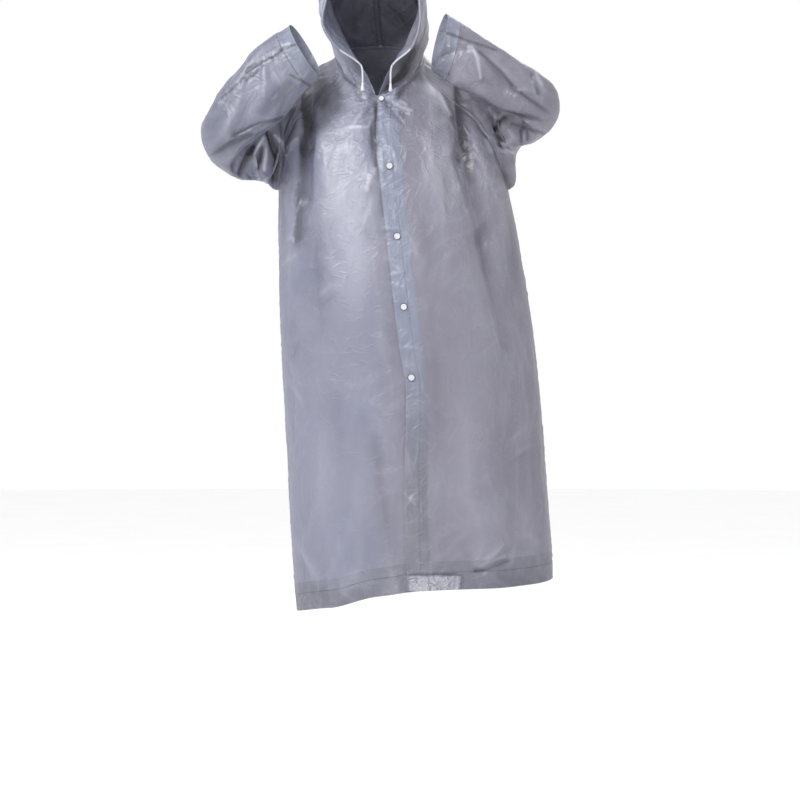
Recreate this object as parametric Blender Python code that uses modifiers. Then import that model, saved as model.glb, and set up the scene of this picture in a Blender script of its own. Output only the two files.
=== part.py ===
"""A long hooded raincoat of thin film, in the hollow pose in which it is worn, with both forearms folded up.

Metres, +Z up, the front faces -Y. The origin is the middle of the neck, where the wearer carries the coat.
Left and right are the wearer's, so the left side of the coat lies at +X.
"""

import math
from collections import namedtuple

import bmesh
import bpy
import numpy as np
from mathutils import Vector

# Film and seams
WALL = 0.0015  # one layer of film, as a solid wall
FOLDED_WALL = 0.0024  # a turned hem, cuff or hood channel
SEAM_INSET = 0.0004  # how far a panel stops short of its seam, so that the inner edges keep the gap too
LAYER_GAP = 0.0005  # between two pieces that lie on each other
NECK_GAP = 0.0012  # between the hood and the neckline, whose short edges don't line up

# Centre front
PLACKET_WIDTH = 0.048
PLACKET_WALL = 0.0012
UNDERLAP = 0.036  # how far the right front runs under the left one
UNDERLAP_RISE = 0.030  # the width over which it comes back to the surface
PLACKET_COLUMNS = 4
UNDERLAP_COLUMNS = 3

# Rows and columns of the panels
HEM_BAND = 0.056
HEM_ROWS, BODY_ROWS, YOKE_ROWS = 2, 16, 9
FRONT_COLUMNS, BACK_COLUMNS = 15, 22
NECK_COLUMNS = 4  # of a sleeve's short piece of neckline
SLEEVE_RINGS = 25
CUFF_RINGS = 2
HOOD_NECK_COLUMNS, HOOD_EDGE_COLUMNS, HOOD_ROWS = 13, 12, 8

HEM_HEIGHT, UNDERARM_HEIGHT = -1.070, -0.280
SQUARENESS = 0.07  # how much fuller than an ellipse the body's rings are

# Body rings from hem to neck. edge is how far the left front's edge lies from the ring's centre.
BODY_COLUMNS = "height centre half_width front back edge".split()
BODY_RINGS = [
    (-1.070, 0.0895, 0.256, 0.170, 0.165, -0.034),
    (-1.000, 0.0850, 0.2575, 0.168, 0.163, -0.033),
    (-0.820, 0.0725, 0.257, 0.166, 0.160, -0.023),
    (-0.740, 0.0668, 0.256, 0.164, 0.158, -0.015),
    (-0.670, 0.0620, 0.255, 0.162, 0.157, -0.011),
    (-0.600, 0.0570, 0.253, 0.160, 0.156, -0.018),
    (-0.520, 0.0498, 0.249, 0.159, 0.155, -0.021),
    (-0.370, 0.0355, 0.238, 0.157, 0.153, -0.023),
    (-0.280, 0.0270, 0.229, 0.155, 0.150, -0.0245),
    (-0.200, 0.0190, 0.222, 0.148, 0.143, -0.023),
    (-0.140, 0.0130, 0.201, 0.138, 0.132, -0.019),
    (-0.090, 0.0085, 0.167, 0.126, 0.118, -0.015),
    (-0.050, 0.0045, 0.130, 0.114, 0.100, -0.0095),
    (-0.020, 0.0020, 0.100, 0.104, 0.086, -0.0055),
    (0.000, 0.0000, 0.086, 0.098, 0.080, -0.0035),
]

# Where the raglan seams cross the rings, in degrees from the centre front. Below the underarm they are the
# side seams.
RAGLAN_COLUMNS = "height front back".split()
RAGLAN_SEAMS = [
    (-0.280, 90, 90),
    (-0.262, 79, 101),
    (-0.235, 72, 107),
    (-0.200, 67.5, 111),
    (-0.140, 64.5, 116),
    (-0.090, 64, 119),
    (-0.050, 62, 122),
    (-0.020, 61, 126),
    (0.000, 60, 128),
]

# The neckline dips to the throat and the hem falls to one side: rise against degrees from the centre front.
NECK_RISE = [
    (-20, -0.089),
    (0, -0.104),
    (20, -0.089),
    (45, -0.066),
    (60, -0.045),
    (70, -0.030),
    (90, -0.008),
    (135, 0.012),
    (180, 0.020),
    (225, 0.012),
]
HEM_RISE = [
    (-225, 0.008),
    (-180, 0.000),
    (-135, -0.018),
    (-90, -0.050),
    (-45, -0.035),
    (-20, -0.010),
    (0, 0.002),
    (45, 0.008),
    (90, 0.016),
    (135, 0.008),
    (180, 0.000),
    (225, -0.018),
]
HEM_RISE_FROM = -0.750

# Large folds of the body, as seen from the front or the back: a groove, or a ridge where a depth is negative.
BodyFold = namedtuple("BodyFold", "view start_x start_z end_x end_z half_width start_depth end_depth")
BODY_FOLDS = [
    ("front", -0.138, -0.110, -0.145, -0.200, 0.016, 0.008, 0.014),
    ("front", -0.145, -0.200, -0.151, -0.312, 0.016, 0.014, 0.010),
    ("front", -0.151, -0.312, -0.168, -0.400, 0.016, 0.010, 0.000),
    ("front", -0.125, -0.180, -0.098, -0.480, 0.022, -0.006, -0.003),
    ("front", 0.147, -0.100, 0.166, -0.220, 0.017, 0.008, 0.015),
    ("front", 0.166, -0.220, 0.205, -0.390, 0.018, 0.015, 0.010),
    ("front", 0.205, -0.390, 0.243, -0.584, 0.020, 0.010, 0.000),
    ("front", -0.010, -0.740, 0.018, -0.985, 0.024, 0.006, 0.000),
    ("front", 0.120, -0.560, 0.150, -1.120, 0.045, 0.000, 0.011),
    ("front", 0.200, -0.620, 0.225, -1.120, 0.030, 0.000, -0.006),
    ("front", -0.060, -0.520, -0.040, -1.120, 0.045, 0.000, 0.011),
    ("front", -0.155, -0.620, -0.140, -1.150, 0.040, 0.000, 0.010),
    ("front", 0.262, -0.700, 0.290, -1.120, 0.030, 0.000, 0.008),
    ("back", -0.120, -0.140, -0.100, -0.620, 0.030, 0.005, 0.011),
    ("back", -0.100, -0.620, -0.085, -1.120, 0.036, 0.011, 0.017),
    ("back", -0.045, -0.300, -0.022, -1.120, 0.026, 0.000, -0.010),
    ("back", 0.005, -0.360, 0.040, -1.120, 0.032, 0.000, 0.017),
    ("back", 0.115, -0.140, 0.150, -0.560, 0.026, 0.005, 0.011),
    ("back", 0.150, -0.560, 0.185, -1.120, 0.036, 0.011, 0.016),
    ("back", 0.085, -0.260, 0.112, -1.120, 0.026, 0.000, -0.009),
    ("back", 0.230, -0.480, 0.290, -1.120, 0.028, 0.000, 0.011),
    ("back", -0.170, -0.520, -0.175, -1.120, 0.026, 0.000, 0.012),
]

# Sleeve sections from the upper arm to the cuff. lean turns the flattened tube's width from straight down, in
# degrees.
SLEEVE_COLUMNS = "x y z lean half_width half_thickness".split()
SLEEVE_RIGHT = [
    (-0.237, -0.050, -0.178, 4, 0.089, 0.050),
    (-0.286, -0.096, -0.203, 10, 0.064, 0.036),
    (-0.311, -0.140, -0.201, 22, 0.052, 0.030),
    (-0.296, -0.184, -0.184, 38, 0.048, 0.030),
    (-0.264, -0.192, -0.149, 45, 0.0577, 0.032),
    (-0.2265, -0.192, -0.115, 45, 0.0627, 0.034),
    (-0.197, -0.190, -0.076, 43, 0.0622, 0.035),
    (-0.142, -0.184, -0.029, 30.4, 0.0555, 0.035),
]
SLEEVE_LEFT = [
    (0.274, -0.064, -0.145, -4, 0.056, 0.044),
    (0.298, -0.102, -0.147, -9, 0.053, 0.035),
    (0.319, -0.146, -0.143, -18, 0.047, 0.028),
    (0.295, -0.190, -0.122, -30, 0.045, 0.029),
    (0.2527, -0.192, -0.1015, -31, 0.0500, 0.032),
    (0.2124, -0.192, -0.0747, -31, 0.0510, 0.034),
    (0.1721, -0.190, -0.0520, -28, 0.0530, 0.034),
    (0.1155, -0.184, -0.0142, -13.7, 0.0568, 0.035),
]
SHOULDER_SHARE = 0.28  # the share of a sleeve's rings that lead from the raglan seam to the first section
SLEEVE_ROUND, SLEEVE_LENGTH = 0.30, 0.60  # about how far a sleeve's film runs round and along, for its folds
EDGE_SHARPNESS = 1.15  # over 1 gives the flattened tube creased edges
CUFF_SKEW = 0.013  # how far the cuff's far side reaches past its near side, each way

# Sleeve folds, by share: round (0 under the arm, 0.25 in front of the upper arm, 0.5 on top) and along (0 at
# the shoulder, 1 at the cuff).
SleeveFold = namedtuple("SleeveFold", "start_round start_along end_round end_along half_width depth")
SLEEVE_FOLDS_RIGHT = [
    (0.86, 0.60, 0.70, 0.80, 0.014, 0.006),
    (0.95, 0.66, 0.80, 0.86, 0.012, -0.004),
    (0.62, 0.66, 0.58, 0.96, 0.012, -0.004),
    (0.05, 0.30, 0.30, 0.42, 0.014, 0.008),
    (0.02, 0.22, 0.34, 0.28, 0.014, -0.006),
    (0.10, 0.12, 0.36, 0.14, 0.016, 0.008),
    (0.52, 0.16, 0.66, 0.40, 0.018, 0.006),
]
SLEEVE_FOLDS_LEFT = [
    (0.70, 0.62, 0.88, 0.80, 0.014, 0.006),
    (0.60, 0.66, 0.58, 0.96, 0.012, -0.004),
    (0.80, 0.72, 0.66, 0.92, 0.014, -0.004),
    (0.05, 0.34, 0.32, 0.42, 0.014, 0.008),
    (0.10, 0.18, 0.40, 0.20, 0.016, 0.008),
    (0.04, 0.24, 0.30, 0.30, 0.014, -0.006),
    (0.52, 0.16, 0.66, 0.40, 0.018, 0.006),
]

# Hood: its middle seam from nape to forehead, and the face edge from throat to forehead on each side.
HOOD_SEAM = [
    (0.000, 0.080, 0.021),
    (-0.004, 0.108, 0.060),
    (-0.009, 0.132, 0.120),
    (-0.013, 0.132, 0.180),
    (-0.014, 0.095, 0.232),
    (-0.014, 0.035, 0.260),
    (-0.014, -0.035, 0.264),
    (-0.014, -0.098, 0.243),
    (-0.014, -0.138, 0.218),
]
HOOD_EDGE_RIGHT = [
    (-0.0065, -0.0985, -0.1020),
    (-0.036, -0.117, -0.047),
    (-0.090, -0.150, -0.007),
    (-0.111, -0.152, 0.035),
    (-0.105, -0.152, 0.075),
    (-0.092, -0.150, 0.130),
    (-0.062, -0.146, 0.185),
    (-0.0145, -0.138, 0.218),
]
HOOD_EDGE_LEFT = [
    (-0.0020, -0.0985, -0.1025),
    (0.0265, -0.117, -0.045),
    (0.065, -0.148, -0.012),
    (0.079, -0.152, 0.030),
    (0.079, -0.152, 0.075),
    (0.068, -0.150, 0.130),
    (0.037, -0.146, 0.185),
    (-0.0135, -0.138, 0.218),
]
HOOD_FULLNESS = 0.034  # how far a half swells past a plain arc
HOOD_BACK_FULLNESS = 0.020  # the same, backwards behind the head
HOOD_WIDE_FROM, HOOD_WIDE_TO = 0.28, 0.70  # the shares of its rim between which a half stays wide
HOOD_WIDE_BY = 0.40  # the share of its height at which it has that width
HOOD_END = 0.012  # the share of a half left out at each pointed end
HOOD_CROWDING = 1.3  # over 1 sets the rows closer together near the middle seam
HOOD_SEAM_INSET = 0.0005
HOOD_NAPE = 178.8  # where on the neckline each half starts at the back and ends at the throat, in degrees
HOOD_THROAT_RIGHT, HOOD_THROAT_LEFT = -4.3, -1.3

# Press studs: the body ring that each sits on, its cap's radius, and how far it lies from the front's edge
Stud = namedtuple("Stud", "height radius from_edge")
BUTTONS = [
    (-0.0075, 0.0056, 0.0070),
    (-0.2430, 0.0065, 0.0205),
    (-0.3840, 0.0065, 0.0205),
    (-0.5205, 0.0065, 0.0185),
    (-0.6570, 0.0065, 0.0125),
]
STUD_GAP = 0.0004
BUTTON_THICKNESS = 0.0026
BUTTON_DIMPLE = 0.0006
TAPER = 0.86
BUTTON_SIDES = 16

# Drawstring
CORD_RADIUS = 0.0018
CORD_CLEARANCE = 0.0017  # between the cord and the hood's straight-sided edge
CORD_POINTS = 60
CORD_GAP = 0.0008  # between the cord and a free end, and between that and its plastic end
EYELET_ALONG = 0.17  # how far up the face edge the cord comes out
TAIL_LEAD = 0.007  # how far a free end keeps to the channel's line
TAIL_DROP = 0.030
TAIL_FORWARD = 0.006
TAIL_POINTS = 9
CORD_END_LENGTH = 0.017
CORD_END_TOP, CORD_END_FOOT = 0.0022, 0.0041  # radii

COLOURS = {  # base colour, roughness
    "film": ((0.36, 0.37, 0.45), 0.38),
    "folded_film": ((0.30, 0.34, 0.44), 0.36),
    "stud": ((0.88, 0.88, 0.90), 0.30),
    "cord": ((0.90, 0.90, 0.92), 0.80),
}


def start_collection(name):
    for old in list(bpy.data.objects):
        bpy.data.objects.remove(old, do_unlink=True)
    collection = bpy.data.collections.new(name)
    bpy.context.scene.collection.children.link(collection)
    return collection


def make_material(name):
    colour, roughness = COLOURS[name]
    material = bpy.data.materials.new(name)
    material.use_nodes = True
    shader = material.node_tree.nodes["Principled BSDF"]
    shader.inputs["Base Color"].default_value = (*colour, 1.0)
    shader.inputs["Roughness"].default_value = roughness
    shader.inputs["Metallic"].default_value = 0.0
    return material


def columns_of(rows, names):
    """A table as one array for each named column."""
    return {name: np.array(values) for name, values in zip(names, zip(*rows))}


def smooth_curve(knots, values, at, steady=False):
    """The cubic curve through the values at the knots, read at any places. A steady one never overshoots."""
    knots, values, at = (np.asarray(a, float) for a in (knots, values, at))
    slopes = np.gradient(values, knots, axis=0)
    if steady:
        steps = np.diff(values) / np.diff(knots)
        before, after = np.append(steps[0], steps), np.append(steps, steps[-1])
        slopes = np.where(before * after > 0, np.sign(before) * np.minimum(abs(before), abs(after)), 0.0)
    i = np.clip(np.searchsorted(knots, at, side="right") - 1, 0, len(knots) - 2)
    span = knots[i + 1] - knots[i]
    t = np.clip((at - knots[i]) / span, 0, 1)
    if values.ndim > 1:
        span, t = span[..., None], t[..., None]
    start, end = values[i], values[i + 1]
    return (
        (2 * t**3 - 3 * t**2 + 1) * start
        + (t**3 - 2 * t**2 + t) * span * slopes[i]
        + (3 * t**2 - 2 * t**3) * end
        + (t**3 - t**2) * span * slopes[i + 1]
    )


def route_curve(points, at):
    """The smooth curve through the points, read at shares of its length from 0 to 1."""
    points = np.asarray(points, float)
    lengths = np.linalg.norm(np.diff(points, axis=0), axis=1)
    knots = np.concatenate([[0], np.cumsum(lengths)]) / lengths.sum()
    return smooth_curve(knots, points, at)


def ease(low, high, x):
    t = np.clip((np.asarray(x, float) - low) / (high - low), 0, 1)
    return t * t * (3 - 2 * t)


def unit(vectors):
    return vectors / np.linalg.norm(vectors, axis=-1, keepdims=True)


BODY = columns_of(BODY_RINGS, BODY_COLUMNS)
RAGLAN = columns_of(RAGLAN_SEAMS, RAGLAN_COLUMNS)


def body_value(name, height):
    return smooth_curve(BODY["height"], BODY[name], height, steady=True)


def seam_angle(name, height):
    return smooth_curve(RAGLAN["height"], RAGLAN[name], height, steady=True)


def table_curve(table, x):
    knots, values = np.array(table, float).T
    return smooth_curve(knots, values, x, steady=True)


def angle_at(offset, height):
    """The ring angle, in degrees, of a point at this distance from the ring's centre line."""
    share = offset / (body_value("half_width", height) * (1 + SQUARENESS))
    return np.degrees(np.arcsin(np.clip(share, -1, 1)))


def plain_body_point(angle, height):
    """The body's surface without its folds. angle: degrees from the centre front, + to the wearer's left."""
    a = np.radians(angle)
    across, ahead = np.sin(a), np.cos(a)
    depth = np.where(ahead > 0, body_value("front", height), body_value("back", height))
    x = body_value("centre", height) + body_value("half_width", height) * across * (1 + SQUARENESS * ahead**2)
    y = -depth * ahead * (1 + SQUARENESS * across**2)
    neck = table_curve(NECK_RISE, np.abs(angle)) * ease(UNDERARM_HEIGHT, 0, height)
    hem = table_curve(HEM_RISE, angle) * ease(HEM_RISE_FROM, HEM_HEIGHT, height)
    return np.stack([x, y, height + neck + hem], axis=-1)


def surface_normal(surface, u, v, step_u, step_v):
    """Outward normals of a surface whose u runs to the left and v up, seen from outside."""
    across = surface(u + step_u, v) - surface(u - step_u, v)
    up = surface(u, v + step_v) - surface(u, v - step_v)
    return unit(np.cross(across, up))


def fold_depth(folds, x, z):
    """The summed depth of folds that run from start to end in a flat view."""
    total = np.zeros_like(x)
    for fold in folds:
        run_x, run_z = fold.end_x - fold.start_x, fold.end_z - fold.start_z
        off_x, off_z = x - fold.start_x, z - fold.start_z
        t = np.clip((off_x * run_x + off_z * run_z) / (run_x**2 + run_z**2), 0, 1)
        away = np.hypot(off_x - t * run_x, off_z - t * run_z)
        depth = fold.start_depth + (fold.end_depth - fold.start_depth) * t
        total += depth * np.exp(-((away / fold.half_width) ** 2))
    return total


def body_point(angle, height):
    """The body's surface with its folds pressed in along its normals."""
    angle, height = np.broadcast_arrays(np.asarray(angle, float), np.asarray(height, float))
    plain = plain_body_point(angle, height)
    normal = surface_normal(plain_body_point, angle, height, 0.5, 0.002)
    depth = np.zeros_like(angle)
    for view, ahead in (("front", np.cos(np.radians(angle))), ("back", -np.cos(np.radians(angle)))):
        folds = [fold for fold in map(BodyFold._make, BODY_FOLDS) if fold.view == view]
        depth += fold_depth(folds, plain[..., 0], plain[..., 2]) * ease(0.0, 0.6, ahead)
    return plain - normal * depth[..., None]


def moved_out(angle, height, distance):
    """Points of the body moved out along its normals."""
    normal = surface_normal(body_point, angle, height, 0.5, 0.002)
    return body_point(angle, height) + normal * np.broadcast_to(distance, np.shape(angle))[..., None]


ROWS = HEM_ROWS + BODY_ROWS + YOKE_ROWS


def row_height(v):
    """The ring height of a panel's row: even steps in the hem band, the body and the yoke."""
    shares = np.array([0, HEM_ROWS, HEM_ROWS + BODY_ROWS, ROWS]) / ROWS
    heights = [HEM_HEIGHT, HEM_HEIGHT + HEM_BAND, UNDERARM_HEIGHT, -NECK_GAP / 2]
    return np.interp(v, shares, heights)


def seam_inset(height, degrees_at_seam):
    """A seam's inset, in degrees of the ring."""
    a = np.radians(degrees_at_seam)
    width, depth = body_value("half_width", height), body_value("front", height)
    arc = np.hypot(width * np.cos(a), depth * np.sin(a))
    return np.degrees(SEAM_INSET / arc)


def front_left_angle(u, height):
    """Columns of the left front: the placket's at even distances from its edge, then out to the side seam."""
    share = PLACKET_COLUMNS / (PLACKET_COLUMNS + FRONT_COLUMNS)
    edge = body_value("edge", height)
    seam = seam_angle("front", height)
    on_placket = angle_at(edge + PLACKET_WIDTH * u / share, height)
    inner = angle_at(edge + PLACKET_WIDTH, height)
    outer = seam - seam_inset(height, seam)
    beyond = inner + (outer - inner) * (u - share) / (1 - share)
    return np.where(u < share, on_placket, beyond)


def front_right_angle(u, height):
    """Columns of the right front, from its side seam to its edge under the left front."""
    share = FRONT_COLUMNS / (FRONT_COLUMNS + UNDERLAP_COLUMNS)
    edge = body_value("edge", height)
    seam = seam_angle("front", height)
    outer = -seam + seam_inset(height, seam)
    inner = angle_at(edge, height)
    to_edge = outer + (inner - outer) * u / share
    under = angle_at(edge + UNDERLAP * (u - share) / (1 - share), height)
    return np.where(u > share, under, to_edge)


def front_left_point(u, v):
    height = row_height(v)
    return body_point(front_left_angle(u, height), height)


def front_right_point(u, v):
    """The right front, which sinks under the left one as it nears the centre."""
    height = row_height(v)
    angle = front_right_angle(u, height)
    from_edge = body_point(angle, height)[..., 0] - body_value("centre", height) - body_value("edge", height)
    sunk = ease(-UNDERLAP_RISE, -0.002, from_edge) * (FOLDED_WALL + LAYER_GAP)
    return moved_out(angle, height, -sunk)


def back_point(u, v):
    """The back panel, from the wearer's left side seam round to the right one."""
    height = row_height(v)
    seam = seam_angle("back", height)
    start = seam + seam_inset(height, seam)
    return body_point(start + (360 - 2 * start) * u - 360 * (start + (360 - 2 * start) * u > 180), height)


def placket_point(u, v):
    height = row_height(v)
    share = PLACKET_COLUMNS / (PLACKET_COLUMNS + FRONT_COLUMNS)
    return moved_out(front_left_angle(u * share * 0.9999, height), height, LAYER_GAP)


def raglan_loop(u, side):
    """The edge that a sleeve is welded to, up the front seam, along the neckline and down the back seam, and
    the direction in which the sleeve leaves it: straight out under the arm, along the shoulder at the neck.
    """
    sides = 2 * YOKE_ROWS + NECK_COLUMNS
    seam_share, neck_share = YOKE_ROWS / sides, NECK_COLUMNS / sides
    low, high = UNDERARM_HEIGHT, float(row_height(1.0))
    climb = np.where(u < 0.5, np.clip(u / seam_share, 0, 1), np.clip((1 - u) / seam_share, 0, 1))
    height = low + (high - low) * climb
    inset = seam_inset(height, seam_angle("front", height)) * np.minimum(1, climb * YOKE_ROWS)
    front, back = seam_angle("front", height) + inset, seam_angle("back", height) - inset
    across = np.clip((u - seam_share) / neck_share, 0, 1)
    angle = side * (front + (back - front) * across)
    edge = body_point(angle, height)
    normal = surface_normal(body_point, angle, height, 0.5, 0.002)
    backwards = unit(body_point(angle + side, height) - body_point(angle - side, height))
    downwards = unit(body_point(angle, height - 0.01) - edge)
    inwards = backwards * (1 - 2 * across)[..., None]
    along = np.where(u < 0.5, ease(0.35, 1.0, climb), climb)[..., None]
    leave = inwards * along + normal * (1 - along) + downwards * ease(0.5, 1.0, climb)[..., None]
    return edge, unit(leave)


def sleeve_point(rows, folds, side):
    """The function that places a sleeve's points: u round it from under the arm, v from seam to cuff."""
    centres = np.array([row[:3] for row in rows])
    lengths = np.linalg.norm(np.diff(centres, axis=0), axis=1)
    knots = np.concatenate([[0], np.cumsum(lengths)]) / lengths.sum()
    table = columns_of(rows, SLEEVE_COLUMNS)

    def tube(u, t):
        """A point on the flattened tube, and its section's centre, at a share t of the way to the cuff."""
        centre = smooth_curve(knots, centres, t)
        ahead = unit(smooth_curve(knots, centres, t + 0.01) - smooth_curve(knots, centres, t - 0.01))
        lean = np.radians(smooth_curve(knots, table["lean"], t))
        down = np.stack([np.sin(lean), np.zeros_like(lean), -np.cos(lean)], axis=-1)
        out = -side * unit(np.cross(ahead, down))
        turn = 2 * math.pi * u
        sine = np.sin(turn)
        wide = smooth_curve(knots, table["half_width"], t) * np.cos(turn)
        thick = smooth_curve(knots, table["half_thickness"], t) * np.sign(sine)
        thick = thick * np.abs(sine) ** EDGE_SHARPNESS
        skew = CUFF_SKEW * sine * ease(0.65, 1.0, t)
        point = centre + down * wide[..., None] + out * thick[..., None] + ahead * skew[..., None]
        return point, centre

    def shoulder(u, t):
        """The stretch that leads from the raglan seam to the tube, which it meets at t = 1."""
        start, leave = raglan_loop(np.mod(u, 1.0), side)
        end, centre = tube(u, np.zeros_like(t))
        arrive = unit(tube(u, np.full_like(t, 0.02))[0] - end)
        span = np.linalg.norm(end - start, axis=-1, keepdims=True)
        t = t[..., None]
        point = (2 * t**3 - 3 * t**2 + 1) * start + (t**3 - 2 * t**2 + t) * span * leave
        point += (3 * t**2 - 2 * t**3) * end + (t**3 - t**2) * span * arrive
        middle = (raglan_loop(np.array([0.0]), side)[0] + raglan_loop(np.array([0.5]), side)[0])[0] / 2
        return point, middle + (centre - middle) * t

    def place(u, v):
        u, v = np.broadcast_arrays(np.asarray(u, float), np.asarray(v, float))
        on_tube, tube_centre = tube(u, np.clip((v - SHOULDER_SHARE) / (1 - SHOULDER_SHARE), 0, 1))
        on_shoulder, shoulder_centre = shoulder(u, np.clip(v / SHOULDER_SHARE, 0, 1))
        past = (v > SHOULDER_SHARE)[..., None]
        points = np.where(past, on_tube, on_shoulder)
        inwards = unit(np.where(past, tube_centre, shoulder_centre) - points)
        depth = np.zeros_like(v)
        for fold in map(SleeveFold._make, folds):
            run_u = (fold.end_round - fold.start_round) * SLEEVE_ROUND
            run_v = (fold.end_along - fold.start_along) * SLEEVE_LENGTH
            off_u = (np.mod(u - fold.start_round + 0.5, 1) - 0.5) * SLEEVE_ROUND
            off_v = (v - fold.start_along) * SLEEVE_LENGTH
            t = np.clip((off_u * run_u + off_v * run_v) / (run_u**2 + run_v**2), 0, 1)
            away = np.hypot(off_u - t * run_u, off_v - t * run_v)
            along = np.sin(math.pi * (0.15 + 0.7 * t))
            depth += fold.depth * along * np.exp(-((away / fold.half_width) ** 2))
        return points + inwards * (depth * ease(0.02, 0.15, v))[..., None]

    return place


HOOD_COLUMNS = HOOD_NECK_COLUMNS + HOOD_EDGE_COLUMNS
HOOD_NECK_SHARE = HOOD_END + (1 - 2 * HOOD_END) * HOOD_NECK_COLUMNS / HOOD_COLUMNS


def neckline_point(angle):
    """The coat's neckline, with the hood's gap above it."""
    point = body_point(angle, np.full(np.shape(angle), float(row_height(1.0))))
    return point + np.array([0, 0, NECK_GAP])


def hood_point(edge, side):
    """The function that places a hood half's points: u from nape to forehead, v up to the middle seam."""
    nape = side * HOOD_NAPE
    throat = HOOD_THROAT_LEFT if side > 0 else HOOD_THROAT_RIGHT

    def rim(u):
        """The half's lower edge: the neckline from nape to throat, then the face edge up to the forehead."""
        neck = neckline_point(nape + (throat - nape) * np.clip(u / HOOD_NECK_SHARE, 0, 1))
        edge_points = route_curve(edge, np.clip((u - HOOD_NECK_SHARE) / (1 - HOOD_NECK_SHARE), 0, 1))
        return np.where((u < HOOD_NECK_SHARE)[..., None], neck, edge_points)

    wide_from, wide_to = rim(np.array([HOOD_WIDE_FROM, HOOD_WIDE_TO]))[:, 0] * side

    def place(u, v):
        u = HOOD_END + (1 - 2 * HOOD_END) * u
        v = 1 - (1 - v) ** HOOD_CROWDING
        low, high = rim(u), route_curve(HOOD_SEAM, u)
        between = np.clip((u - HOOD_WIDE_FROM) / (HOOD_WIDE_TO - HOOD_WIDE_FROM), 0, 1)
        wanting = np.maximum(wide_from + (wide_to - wide_from) * between - low[..., 0] * side, 0)
        wanting *= np.sin(math.pi * between) ** 0.5 * np.sin(math.pi / 2 * np.clip(v / HOOD_WIDE_BY, 0, 1))
        low = low + np.stack([side * wanting, 0 * wanting, 0 * wanting], axis=-1)
        high = high + np.array([side * HOOD_SEAM_INSET, 0, 0])
        rising, closing = np.sin(math.pi / 2 * v), 1 - np.cos(math.pi / 2 * v)
        point = low + (high - low) * np.stack([closing, rising, rising], axis=-1)
        swell = np.sin(math.pi * v) * np.sin(math.pi * u) ** 0.7
        point[..., 0] += side * HOOD_FULLNESS * swell
        point[..., 1] += HOOD_BACK_FULLNESS * swell * (1 - ease(0.15, 0.6, u))
        return point

    return place


def make_shell(
    name, place, columns, rows, material, collection, wall=WALL, folded=None, closed=False, mirrored=False
):
    """A sheet of film: a grid moved to its place and given its wall, which lies inside the surface.

    folded(u, v) is true where the film is turned under, and closed joins the grid's first and last columns.
    """
    bm = bmesh.new()
    bmesh.ops.create_grid(bm, x_segments=columns, y_segments=rows, size=0.5)
    flat = np.array([vert.co for vert in bm.verts])
    u, v = flat[:, 0] + 0.5, flat[:, 1] + 0.5
    places = place(1 - u if mirrored else u, v)
    for vert, co in zip(bm.verts, places):
        vert.co = co
    turned = np.zeros(len(u), bool) if folded is None else folded(u, v)
    layer = bm.verts.layers.deform.new()
    for vert, is_turned in zip(bm.verts, turned):
        vert[layer][0] = float(is_turned)
    if closed:
        bmesh.ops.remove_doubles(bm, verts=bm.verts, dist=0.00001)
    mesh = bpy.data.meshes.new(name)
    bm.to_mesh(mesh)
    bm.free()
    mesh.shade_smooth()
    shell = bpy.data.objects.new(name, mesh)
    shell.vertex_groups.new(name="turned_film")
    solidify = shell.modifiers.new("film", "SOLIDIFY")
    solidify.thickness = FOLDED_WALL if folded else wall
    solidify.offset = -1
    solidify.use_even_offset = True
    if folded:
        solidify.vertex_group = "turned_film"
        solidify.thickness_vertex_group = wall / FOLDED_WALL
    mesh.materials.append(material)
    collection.objects.link(shell)
    return shell


def in_hem(u, v):
    return v < (HEM_ROWS + 0.5) / ROWS


def make_body(film, folded_film, collection):
    front_columns = PLACKET_COLUMNS + FRONT_COLUMNS
    make_shell("back", back_point, BACK_COLUMNS, ROWS, film, collection, folded=in_hem)
    make_shell("front_left", front_left_point, front_columns, ROWS, film, collection, folded=in_hem)
    right_columns = FRONT_COLUMNS + UNDERLAP_COLUMNS
    make_shell("front_right", front_right_point, right_columns, ROWS, film, collection, folded=in_hem)
    placket = make_shell(
        "front_placket", placket_point, PLACKET_COLUMNS, ROWS, folded_film, collection, wall=PLACKET_WALL
    )
    placket.modifiers["film"].offset = 1


def make_sleeves(film, collection):
    around = 2 * YOKE_ROWS + NECK_COLUMNS
    cuff_from = 1 - (CUFF_RINGS + 0.5) / SLEEVE_RINGS
    for name, rows, folds, side in (
        ("sleeve_right", SLEEVE_RIGHT, SLEEVE_FOLDS_RIGHT, -1),
        ("sleeve_left", SLEEVE_LEFT, SLEEVE_FOLDS_LEFT, 1),
    ):
        make_shell(
            name,
            sleeve_point(rows, folds, side),
            around,
            SLEEVE_RINGS,
            film,
            collection,
            folded=lambda u, v: v > cuff_from,
            closed=True,
            mirrored=side > 0,
        )


def make_hood(film, collection):
    for name, edge, side in (("hood_right", HOOD_EDGE_RIGHT, -1), ("hood_left", HOOD_EDGE_LEFT, 1)):
        make_shell(
            name,
            hood_point(edge, side),
            HOOD_COLUMNS,
            HOOD_ROWS,
            film,
            collection,
            folded=lambda u, v, side=side: (v < 0.5 / HOOD_ROWS)
            & ((1 - u if side > 0 else u) > HOOD_NECK_SHARE + 0.02),
            mirrored=side > 0,
        )


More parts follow.
